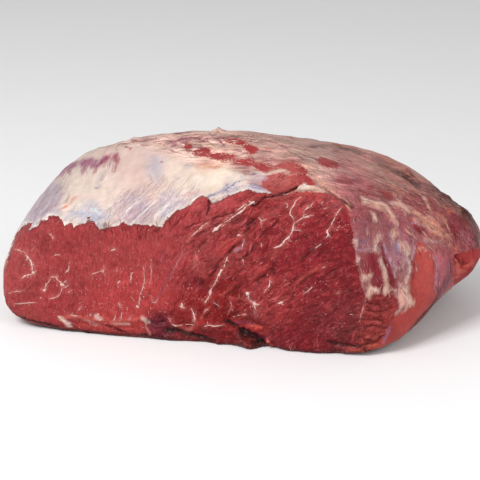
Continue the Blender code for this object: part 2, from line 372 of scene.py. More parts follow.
skinLines = rowsOf([
    # top of the piece
    ((158, 96, 110), 1.5, 0.8, [[(166, 146), (174, 142), (184, 139), (196, 139), (207, 141)], [(172, 147),
     (181, 143), (190, 141)], [(214, 136), (221, 142), (226, 147)]]),
    ((150, 92, 100), 1.2, 0.7, [[(176, 134), (190, 132)], [(120, 146), (140, 141), (156, 138)], [(281, 146),
     (290, 148)]]),
    ((164, 104, 108), 2, 0.6, [[(222, 150), (236, 150), (246, 154)], [(258, 158), (276, 161), (300, 163)]]),
    ((228, 190, 170), 1.6, 0.7, [[(196, 146), (214, 147), (230, 150), (244, 156)]]),
    ((228, 150, 134), 1.6, 0.7, [[(266, 150), (270, 149)], [(412, 187), (420, 193)]]),
    ((226, 160, 138), 1.2, 0.7, [[(286, 137), (298, 139)], [(307, 165), (314, 176), (323, 185), (333, 191),
     (341, 198)]]),
    ((126, 92, 86), 1.6, 0.7, [[(310, 146), (325, 147)]]),
    ((204, 130, 118), 1.2, 0.6, [[(250, 163), (266, 161), (286, 161), (304, 164)], [(384, 162), (400, 176),
     (414, 188), (430, 198), (446, 206), (458, 214)]]),
    ((136, 90, 96), 1.4, 0.5, [[(212, 139), (232, 137), (252, 141)]]),
    ((106, 80, 76), 1.8, 0.8, [[(335, 144), (348, 149), (361, 154)]]),
    ((196, 160, 150), 1.4, 0.7, [[(360, 149), (374, 154)], [(338, 168), (346, 172), (353, 178)], [(379, 180),
     (384, 184)]]),
    ((124, 84, 80), 2.6, 0.6, [[(376, 160), (390, 167), (404, 176), (418, 186)]]),
    ((86, 58, 56), 1.6, 0.8, [[(398, 170), (408, 177), (420, 186)], [(334, 197), (344, 203), (353, 208)]]),
    ((216, 132, 112), 0.8, 0.6, [[(326, 143), (342, 145.5), (358, 149), (376, 153.5), (392, 160.5),
     (404, 167)], [(412, 174), (424, 181), (436, 188), (448, 195)]]),
    ((188, 124, 122), 3, 0.3, [[(350, 156), (366, 162), (386, 174), (404, 186)]]),
    ((176, 136, 124), 1.6, 0.8, [[(412, 173), (424, 179), (434, 184)]]),
    ((92, 46, 42), 2.6, 0.85, [[(434, 187), (443, 193), (452, 200)], [(456, 204), (464, 210), (472, 219),
     (476, 232), (478, 246)]]),
    ((84, 40, 30), 3.4, 0.8, [[(461, 208), (468, 214)]]),
    ((150, 70, 60), 0.8, 0.4, [[(462, 206.5), (469, 213), (474, 222), (476, 234)]]),
    ((96, 60, 56), 1.2, 0.8, [[(176, 130), (188, 130)], [(223, 128), (238, 129)]]),
    ((100, 84, 94), 1.6, 0.6, [[(311, 156), (318, 162)]]),
    ((130, 80, 72), 1.1, 0.6, [[(304, 168), (311, 178), (319, 187), (330, 192), (338, 199)]]),
    ((220, 150, 128), 0.9, 0.7, [[(345, 205), (349, 208), (351, 211)]]),
    ((200, 160, 140), 1.1, 0.7, [[(340, 156), (352, 161), (364, 168), (372, 175)], [(368, 164), (378, 168)],
     [(360, 160), (376, 170), (392, 182), (408, 190)], [(426, 202), (430, 210)]]),
    ((234, 180, 160), 1, 0.7, [[(371, 168), (374, 168)]]),
    ((144, 74, 80), 3, 0.6, [[(338, 180), (352, 180), (362, 182)]]),
    ((176, 118, 118), 1, 0.6, [[(336, 187), (352, 187), (366, 190)]]),
    ((240, 186, 176), 1.4, 0.9, [[(423, 197), (425, 200)]]),
    ((222, 110, 88), 1.8, 0.8, [[(449, 210), (450, 212)]]),
    ((186, 138, 118), 1.2, 0.7, [[(456, 206), (461, 213)]]),
    # flank
    ((168, 104, 116), 0.8, 0.6, [[(353, 222), (371, 222)]]),
    ((142, 108, 136), 2.2, 0.5, [[(358, 240), (364, 243), (370, 240)]]),
    ((178, 136, 150), 1.2, 0.7, [[(354, 249), (362, 250), (372, 249)], [(463, 233), (465, 241)]]),
    ((176, 116, 106), 1.4, 0.7, [[(380, 223), (377, 228), (375, 235), (373, 243)]]),
    ((186, 146, 136), 4.2, 0.6, [[(370, 249), (377, 250)]]),
    ((134, 44, 54), 2.4, 0.85, [[(382, 246), (384, 255), (386, 263), (390, 273), (392, 282)]]),
    ((138, 46, 54), 3.2, 0.8, [[(371, 256), (373, 263), (376, 272)]]),
    ((196, 160, 178), 0.8, 0.8, [[(383, 242), (387, 254), (391, 266), (395, 278)], [(416, 246), (414, 262),
     (412, 280)], [(387, 232), (398, 246), (407, 262)], [(367, 298), (364, 304), (361, 313), (359, 323)]]),
    ((196, 152, 156), 0.9, 0.7, [[(397, 226), (404, 241), (409, 254)], [(394, 262), (396, 258), (401, 257),
     (404, 262), (402, 269), (396, 269), (394, 262)], [(413, 252), (416, 266), (417, 276)], [(413, 223),
     (422, 225), (429, 230)], [(416, 247), (420, 243), (430, 240), (442, 243), (449, 250)], [(453, 262),
     (454, 276)]]),
    ((160, 132, 156), 3.4, 0.55, [[(394, 246), (397, 252)]]),
    ((192, 176, 200), 1.2, 0.6, [[(396, 243), (398, 250)]]),
    ((152, 74, 98), 2, 0.7, [[(398, 262), (399, 265)]]),
    ((192, 146, 142), 2.2, 0.6, [[(413, 240), (414, 251)]]),
    ((218, 176, 160), 0.8, 0.8, [[(408, 256), (409, 266), (407, 284)]]),
    ((206, 160, 134), 1.8, 0.8, [[(412, 212), (420, 216), (427, 223), (435, 229), (442, 235)]]),
    ((146, 54, 60), 2, 0.7, [[(414, 227), (423, 232)]]),
    ((230, 160, 140), 1.2, 0.8, [[(412, 218), (428, 228), (440, 236), (451, 247)], [(416, 213), (430, 220),
     (444, 232), (452, 241)], [(436, 212), (444, 222), (450, 234)]]),
    ((236, 172, 156), 1.2, 0.8, [[(425, 199), (429, 208), (435, 218), (441, 226)]]),
    ((230, 150, 134), 1.6, 0.75, [[(427, 217), (434, 224), (440, 232)]]),
    ((150, 74, 78), 1.1, 0.7, [[(436, 212), (442, 221), (447, 232)], [(430, 212), (437, 221), (444, 234)],
     [(452, 216), (454, 226), (454, 236)]]),
    ((214, 148, 130), 1.2, 0.7, [[(440, 216), (446, 227), (450, 238)], [(440, 228), (448, 238), (453, 247)],
     [(424, 239), (430, 240), (436, 242)]]),
    ((222, 116, 92), 0.9, 0.7, [[(453, 244), (455, 249), (456, 253)]]),
    ((124, 44, 54), 2.6, 0.7, [[(453, 226), (456, 233), (457, 240)]]),
    ((180, 120, 132), 1.2, 0.5, [[(470, 234), (472, 246)]]),
    ((204, 154, 172), 1.3, 0.7, [[(434, 254), (437, 266), (437, 284), (434, 298)]]),
    ((116, 58, 70), 2, 0.5, [[(450, 258), (452, 268), (451, 276)]]),
    ((96, 48, 58), 3.4, 0.6, [[(449, 278), (444, 287), (438, 296)]]),
    ((164, 108, 128), 1.4, 0.6, [[(399, 284), (397, 292), (398, 300)]]),
])
skinAreas = [
    ((176, 102, 110), 2.4, 0.7, [(433, 258), (440, 250), (450, 254), (452, 266), (451, 282), (443, 294),
     (436, 298), (436, 276)]),
    ((142, 60, 60), 1.6, 0.85, [(377, 190), (384, 190), (391, 193), (394, 198), (391, 201), (386, 200)]),
    ((146, 66, 58), 1.4, 0.75, [(366, 187), (372, 185), (375, 189), (370, 191)]),
    ((148, 56, 56), 1.4, 0.75, [(357, 189), (361, 190), (368, 196), (362, 196)]),
    ((146, 52, 58), 1.8, 0.85, [(412, 225), (418, 226), (425, 230), (425, 234), (415, 233)]),
]
skinDabs = [
    ((236, 200, 186), 18, (150, 141)), ((228, 190, 174), 20, (204, 136)), ((206, 164, 150), 12, (240, 132)),
    ((202, 160, 148), 22, (284, 148)), ((210, 166, 156), 14, (318, 176)), ((184, 116, 116), 16, (350, 184)),
    ((216, 148, 138), 11, (360, 160)), ((180, 132, 120), 9, (350, 147)), ((206, 138, 124), 12, (400, 172)),
    ((126, 68, 60), 10, (443, 194)), ((112, 54, 44), 8, (468, 212)), ((152, 82, 86), 14, (358, 212)),
    ((160, 94, 98), 14, (374, 232)), ((184, 122, 130), 9, (396, 250)), ((172, 100, 104), 14, (404, 228)),
    ((186, 92, 96), 12, (440, 268)), ((168, 88, 94), 10, (464, 242)), ((164, 90, 90), 12, (424, 208)),
    ((140, 56, 62), 9, (374, 264)), ((172, 116, 106), 10, (386, 176)), ((142, 64, 68), 9, (455, 230)),
    ((150, 72, 80), 9, (450, 220)), ((138, 50, 56), 8, (382, 282)), ((186, 108, 102), 9, (436, 222)),
    ((230, 198, 186), 12, (132, 140)), ((236, 204, 190), 9, (180, 157)), ((222, 176, 158), 8, (214, 162)),
]
skinPaint = {"base": (166, 112, 110), "areas": skinAreas, "dabs": skinDabs, "strokes": skinLines}

fatLines = rowsOf([
    ((146, 74, 104), 0.8, 0.6, [[(56, 179), (63, 172), (70, 166)], [(82, 165), (86, 161), (92, 160)],
     [(101, 163), (106, 159), (110, 156)]]),
    ((196, 140, 156), 0.8, 0.6, [[(62, 177), (68, 172)], [(84, 170), (90, 165)]]),
    ((190, 178, 182), 2.2, 0.5, [[(98, 184), (102, 177), (108, 171)], [(150, 176), (153, 182)], [(185, 166),
     (195, 164)]]),
    ((176, 172, 190), 1.4, 0.6, [[(95, 190), (101, 187)]]),
    ((148, 92, 104), 1.2, 0.7, [[(102, 147), (116, 143)]]),
    ((192, 178, 184), 5, 0.6, [[(155, 160), (153, 168), (157, 176)]]),
    ((232, 134, 106), 1.4, 0.8, [[(63, 209), (67, 207)]]),
    ((190, 160, 148), 1.8, 0.6, [[(66, 203), (70, 197)]]),
    ((238, 176, 160), 1.2, 0.6, [[(68, 206), (74, 200), (82, 196)]]),
    ((232, 168, 138), 1.8, 0.8, [[(196, 166), (204, 165), (214, 168), (222, 166)]]),
    ((150, 70, 84), 1, 0.9, [[(160, 162), (164, 162)]]),
    ((230, 116, 96), 1, 0.9, [[(130, 150), (132, 149)], [(160, 143), (161, 144)]]),
    ((240, 221, 203), 6, 0.7, [[(180, 186), (198, 184), (216, 180), (230, 176)]]),
    ((176, 170, 190), 1.3, 0.7, [[(206, 197), (214, 195), (222, 191), (230, 187), (240, 182)]]),
    ((140, 132, 156), 0.9, 0.8, [[(224, 191), (229, 188)], [(232, 186), (237, 183)], [(210, 196),
     (214, 195)]]),
    # white specks and streaks of the fat, the last a painted highlight on the raised cream fat at the top of
    # the cut
    ((250, 238, 232), 0.9, 0.9, [[(228, 189), (229, 190)], [(232, 188), (233, 187)], [(121, 218), (130, 209),
     (142, 200)], [(132, 225), (144, 213), (156, 202)], [(150, 225), (160, 213), (170, 203)], [(302, 184),
     (305, 186), (309, 188)]]),
    ((234, 208, 202), 1, 0.8, [[(213, 201), (222, 196), (232, 191), (248, 183)]]),
    ((178, 164, 186), 2.6, 0.7, [[(246, 189), (256, 186), (264, 190)]]),
    ((224, 216, 220), 1.2, 0.7, [[(254, 192), (262, 193)], [(242, 176), (243, 182)]]),
    ((140, 100, 128), 1.6, 0.8, [[(250, 176), (257, 175)]]),
    ((200, 186, 194), 1.4, 0.5, [[(57, 190), (50, 204), (40, 218)], [(106, 214), (116, 205), (128, 199),
     (140, 198)], [(184, 203), (192, 199), (200, 194)]]),
    ((180, 162, 178), 1, 0.5, [[(52, 186), (44, 200), (36, 212)], [(132, 222), (142, 212), (151, 204)],
     [(140, 223), (149, 215), (158, 205)]]),
    ((206, 190, 202), 1, 0.6, [[(56, 194), (47, 208), (38, 219)]]),
    ((220, 200, 196), 1.6, 0.8, [[(56, 176), (42, 194), (26, 214), (12, 236)]]),
    ((196, 120, 100), 0.9, 0.6, [[(52, 178), (38, 196), (24, 214)]]),
    ((196, 194, 212), 2.2, 0.7, [[(66, 218), (76, 213), (88, 214), (98, 216)], [(84, 218), (96, 219),
     (108, 216)]]),
    # painted highlight on the bluish film
    ((232, 240, 242), 1.6, 0.8, [[(92, 209), (96, 211), (100, 214)]]),
    ((184, 154, 174), 1.4, 0.45, [[(126, 219), (133, 212), (141, 205)]]),
    ((196, 190, 204), 1.4, 0.7, [[(158, 222), (166, 213), (174, 206)]]),
    ((240, 226, 220), 1, 0.7, [[(160, 226), (166, 218), (174, 211), (184, 206)]]),
    ((242, 206, 192), 1, 0.6, [[(151, 194), (154, 201), (158, 206)]]),
    ((226, 186, 182), 1.4, 0.6, [[(184, 196), (196, 193), (204, 192)]]),
    ((206, 150, 130), 0.9, 0.6, [[(310, 189.5), (316, 190), (323, 192)]]),
    # flank
    ((244, 204, 186), 0.9, 0.8, [[(362, 200), (374, 202), (384, 206), (391, 214), (397, 223)], [(390, 204),
     (400, 204), (408, 210)], [(371, 212), (374, 218), (376, 223)], [(380, 236), (377, 243), (373, 251)],
     [(382, 260), (385, 270), (387, 284)], [(369, 289), (376, 290), (371, 296)]]),
    ((204, 136, 120), 0.8, 0.7, [[(364, 203), (376, 206), (385, 211), (391, 219)], [(394, 206), (402, 209),
     (409, 215)], [(400, 290), (404, 300), (404, 308)]]),
    ((236, 176, 150), 1, 0.8, [[(393, 230), (394, 238)], [(402, 243), (405, 250)]]),
    ((244, 214, 200), 1.2, 0.7, [[(404, 286), (406, 296), (408, 304)]]),
])
fatAreas = [
    ((162, 90, 120), 1.8, 0.9, [(53, 182), (58, 174), (64, 167), (70, 163), (79, 162), (77, 167),
     (71, 170), (71, 175), (68, 175), (67, 171), (62, 176), (58, 180)]),
    ((166, 94, 124), 1.8, 0.9, [(79, 163), (84, 159), (92, 158), (98, 161), (99, 165), (97, 170),
     (95, 175), (92, 174), (94, 169), (89, 168), (86, 171), (83, 176), (81, 174), (84, 169), (80, 167)]),
    ((168, 84, 108), 1.8, 0.9, [(97, 165), (100, 160), (105, 156), (111, 155), (111, 160), (107, 163),
     (102, 164), (100, 168)]),
    ((168, 84, 106), 1.6, 0.85, [(113, 155), (119, 154), (120, 159), (118, 165), (116, 171), (114, 170),
     (116, 164), (112, 160)]),
    ((194, 176, 184), 3, 0.8, [(58, 184), (62, 188), (60, 198), (54, 212), (46, 220), (34, 226),
     (26, 226), (34, 214), (44, 198), (52, 186)]),
]
fatDabs = [
    ((230, 210, 197), 16, (78, 190)), ((235, 212, 198), 16, (108, 194)), ((233, 209, 194), 18, (186, 182)),
    ((237, 217, 197), 14, (214, 180)), ((224, 193, 182), 20, (136, 172)), ((200, 180, 186), 10, (44, 208)),
    ((198, 180, 188), 8, (55, 194)), ((214, 208, 216), 9, (92, 213)), ((206, 176, 180), 13, (132, 210)),
    ((192, 182, 190), 8, (154, 168)), ((216, 198, 204), 9, (172, 204)), ((168, 160, 180), 6, (228, 191)),
    ((234, 196, 180), 9, (310, 190)), ((228, 176, 158), 16, (392, 214)), ((232, 158, 138), 14, (428, 224)),
    ((232, 176, 160), 9, (406, 296)), ((220, 174, 158), 12, (368, 284)), ((226, 178, 152), 7, (206, 166)),
    ((206, 170, 156), 12, (308, 172)), ((228, 200, 190), 12, (128, 152)), ((206, 190, 200), 12, (36, 218)),
    ((206, 138, 126), 14, (104, 322)), ((178, 164, 190), 7, (262, 190)), ((214, 170, 160), 14, (374, 246)),
    ((255, 236, 220), 6, (306, 187)), ((250, 226, 210), 5, (98, 318)),
]
fatPaint = {"base": (232, 206, 190), "areas": fatAreas, "dabs": fatDabs, "strokes": fatLines}

# Where the meat lies bare of skin: the cut face, the muscle over it, islands on the top and smooth muscle.
bareMeat = [
    capEdge + cutTop + cutRight + [(396, 315), (388, 327), (383, 340), (374, 350), (380, 372), (-20, 372),
     (-20, 250)],
    [(264, 188), (263, 182), (266, 177), (273, 175), (280, 174), (290, 176), (296, 174), (303, 172),
     (309, 177), (315, 186), (310, 187), (303, 185), (296, 189), (289, 192), (281, 194), (274, 193),
     (269, 191)],
    [(274, 172), (276, 167), (282, 163), (293, 163), (303, 167), (306, 171), (300, 173), (290, 175),
     (282, 171)],
    [(183, 147), (186, 144), (191, 145), (192, 148), (188, 150)],
    [(191, 153), (195, 150), (201, 148), (208, 149), (212, 151), (210, 154), (205, 157), (198, 156)],
    [(208, 156), (212, 153), (220, 154), (230, 155), (237, 157), (234, 160), (228, 159), (224, 161),
     (214, 159)],
    [(233, 162), (240, 160), (250, 160), (256, 162), (252, 165), (244, 165)],
    [(253, 166), (257, 164), (265, 164), (272, 167), (273, 171), (270, 175), (262, 172), (256, 169)],
    [(224, 139), (232, 139), (240, 141), (246, 144), (245, 147), (238, 145), (230, 143)],
    [(243, 145), (250, 146), (257, 149), (256, 152), (251, 154), (246, 150)],
    [(317, 160), (321, 158), (328, 160), (336, 163), (339, 166), (336, 169), (328, 168), (322, 165)],
    [(416, 251), (418, 244), (423, 242), (424, 247), (428, 252), (432, 254), (434, 264), (434, 276),
     (434, 288), (437, 298), (450, 310), (500, 310), (500, 372), (376, 372), (374, 350), (381, 342),
     (386, 335), (389, 327), (393, 322), (398, 315), (405, 311), (413, 307), (414, 302), (411, 296),
     (410, 287), (412, 276), (413, 265)],
    [(453, 255), (460, 254), (466, 253), (474, 250), (482, 250), (484, 262), (470, 286), (455, 288),
     (454, 270)],
]
# Fat over skin and meat: outlines, then strokes of (half width, route).
fatOutlines = [
    capEdge + capTop,
    [(244, 177), (250, 172), (258, 171), (265, 174), (264, 177), (256, 179), (248, 182)],
    [(296, 190.5), (299, 187), (303, 185.5), (304, 182.5), (306, 184.5), (309, 186.5), (314, 186.5),
     (318, 188.5), (324, 191.5), (318, 192.5), (312, 192), (306, 191), (300, 192)],
    [(361, 198), (366, 199), (373, 201), (381, 201), (386, 204), (390, 210), (394, 217), (398, 224),
     (396, 226), (392, 221), (389, 216), (384, 212), (378, 210), (371, 206), (363, 204)],
    [(388, 203), (393, 202), (400, 201), (405, 205), (410, 209), (411, 213), (409, 216), (405, 213),
     (401, 209), (395, 207)],
    [(370, 211), (373, 211), (376, 217), (378, 223), (375, 223), (372, 217)],
    [(378, 233), (381, 236), (379, 241), (376, 245), (374, 252), (370, 253), (374, 245)],
    [(391, 228), (394, 231), (397, 235), (394, 240), (391, 244), (390, 236)],
    [(400, 241), (404, 242), (407, 247), (410, 255), (406, 256), (402, 249)],
    [(354, 240), (358, 241), (359, 246), (356, 249), (354, 245)],
    [(357, 257), (361, 258), (359, 262), (357, 265), (356, 260)],
    [(362, 275), (367, 276), (373, 274), (370, 279), (365, 282), (362, 279)],
    [(368, 287), (374, 287), (380, 289), (380, 293), (374, 293), (371, 295), (369, 299), (367, 297),
     (368, 292)],
    [(380, 258), (382, 260), (385, 268), (387, 276), (388, 285), (389, 291), (386, 294), (383, 291),
     (385, 284), (383, 276), (381, 268)],
    [(390, 287), (396, 290), (396, 292), (391, 290)],
    [(400, 284), (403, 282), (405, 287), (409, 286), (410, 293), (414, 302), (413, 306), (410, 307),
     (408, 304), (406, 310), (402, 313), (404, 306), (401, 308), (396, 315), (400, 306), (400, 302),
     (397, 297), (398, 290)],
    [(60, 317), (62.5, 318), (67, 322), (71, 327), (69, 327.5), (64, 322.5)],
    [(95, 315), (97, 315), (101, 317.5), (103, 318.5), (101, 320), (97, 319)],
    [(84, 319.5), (88, 319.5), (93, 322), (102, 324), (101, 325), (92, 324)],
    [(111, 322.5), (118, 322), (128, 324), (124, 325), (116, 325)],
]
fatStrokes = [
    (0.8, [(240, 188), (252, 180), (260, 175)]),
    (0.9, [(262, 178), (268, 175), (274, 172), (281, 171), (288, 173)]),
    (0.8, [(408, 254), (409, 266), (407, 281)]),
    (0.7, [(368, 284), (370, 288)]),
    (0.3, [(142, 317), (147, 322)]),
    (0.8, [(413, 212), (422, 217), (428, 223)]),
]
# Creases press in and lumps stand out: (height in millimetres, half width in pixels, route).
marks = rowsOf([
    (-3, 1.6, [[(249, 205), (256, 205), (260, 202), (264, 198), (278, 196), (285, 194), (296, 188)]]),
    (-2, 1.3, [[(209, 201), (208, 208), (207, 215)], [(456, 255), (458, 261), (460, 268)]]),
    (-1.6, 1.4, [[(236, 214), (227, 215), (219, 217), (213, 220)], [(222, 223), (215, 227), (200, 234),
     (188, 246)], [(254, 225), (247, 230), (242, 234), (231, 238)], [(233, 247), (229, 252), (226, 256)],
     [(275, 262), (272, 270), (262, 277), (255, 283)], [(256, 246), (246, 256), (238, 262)], [(253, 220),
     (246, 226)], [(437, 256), (438, 268), (436, 290)]]),
    (1, 2, [[(253, 202), (245, 209), (233, 217), (211, 232)], [(262, 224), (250, 236)], [(212, 238),
     (204, 246), (197, 252)], [(363, 201), (373, 204), (384, 208), (392, 217)], [(428, 218), (436, 225),
     (442, 234)], [(442, 219), (447, 229), (451, 240)]]),
    (1.2, 3, [[(225, 250), (238, 240)], [(403, 286), (405, 298), (406, 308)]]),
    (-1.2, 1.8, [[(322, 246), (312, 252), (300, 262)], [(342, 266), (330, 272), (318, 282)], [(278, 222),
     (270, 228), (262, 236)], [(70, 322), (92, 325), (118, 328), (134, 328)], [(206, 240), (199, 248),
     (194, 256)], [(222, 260), (216, 268), (211, 276)], [(367, 298), (364, 304), (361, 313), (359, 323)],
     [(304, 168), (311, 178), (319, 187), (330, 192), (338, 199)], [(382, 246), (386, 263), (392, 282)],
     [(452, 214), (455, 226), (457, 240)]]),
    (-0.8, 1.2, [[(183, 251), (176, 264), (169, 278), (162, 290)]]),
    (3, 1.9, [[(217, 131.6), (219.5, 131.4)], [(407.5, 172.2), (409.5, 173.6)]]),
    (2, 1.9, [[(134, 140.6), (136, 140.4)]]),
    (-3.2, 3.4, [[(168, 332), (184, 334), (200, 338), (212, 343)]]),
    (-1.6, 4, [[(150, 322), (160, 322), (168, 326)]]),
    (1.4, 2, [[(60, 317), (88, 318), (104, 320), (126, 321), (146, 319)], [(172, 322), (182, 327),
     (192, 329), (206, 330)], [(208.6, 308.4), (205, 312.4), (201, 318)]]),
    (-2.6, 2.2, [[(228, 322.5), (235, 326), (243, 331)], [(328, 342), (345, 346), (366, 346), (377, 343),
     (383, 337)]]),
    (-5, 4, [[(243, 332), (250, 336), (257, 341), (265, 346)]]),
    (2.2, 2.6, [[(249, 326), (255, 329), (260, 328)], [(197, 326), (202, 322)]]),
    (3, 2.2, [[(267, 341), (271, 345), (275, 350)]]),
    (1.6, 3.2, [[(240, 341), (248, 345), (258, 349)], [(300, 188), (306, 187), (314, 190)]]),
    (-1.8, 3, [[(197, 280), (203, 286)], [(376, 160), (390, 167), (404, 176), (418, 186)]]),
    (-1.2, 1.2, footFolds),
])
# Lobes on the outline: (height, half width in millimetres, route in pixels).
lobes = [
    (1.5, 8, [(459, 206), (465, 210)]),
    (-2.5, 5, [(455, 201), (457, 207)]),
    (-2.8, 14, [(477, 230), (478, 250)]),
    (4.5, 10, [(474, 254), (471, 262), (465, 271)]),
    (-3, 6, [(452, 287), (456, 283)]),
    (4.5, 9, [(438, 191), (445, 194)]),
    (-1.6, 5, [(47, 176), (40, 186)]),
    (4.0, 7, [(246, 343), (262, 347)]),
    (-2.5, 6, [(229, 343), (230, 346)]),
    (2.2, 4, [(217, 129), (220, 129)]),
    (2, 4, [(407, 170), (409, 172)]),
    (1.5, 4, [(134, 139), (136, 139)]),
]

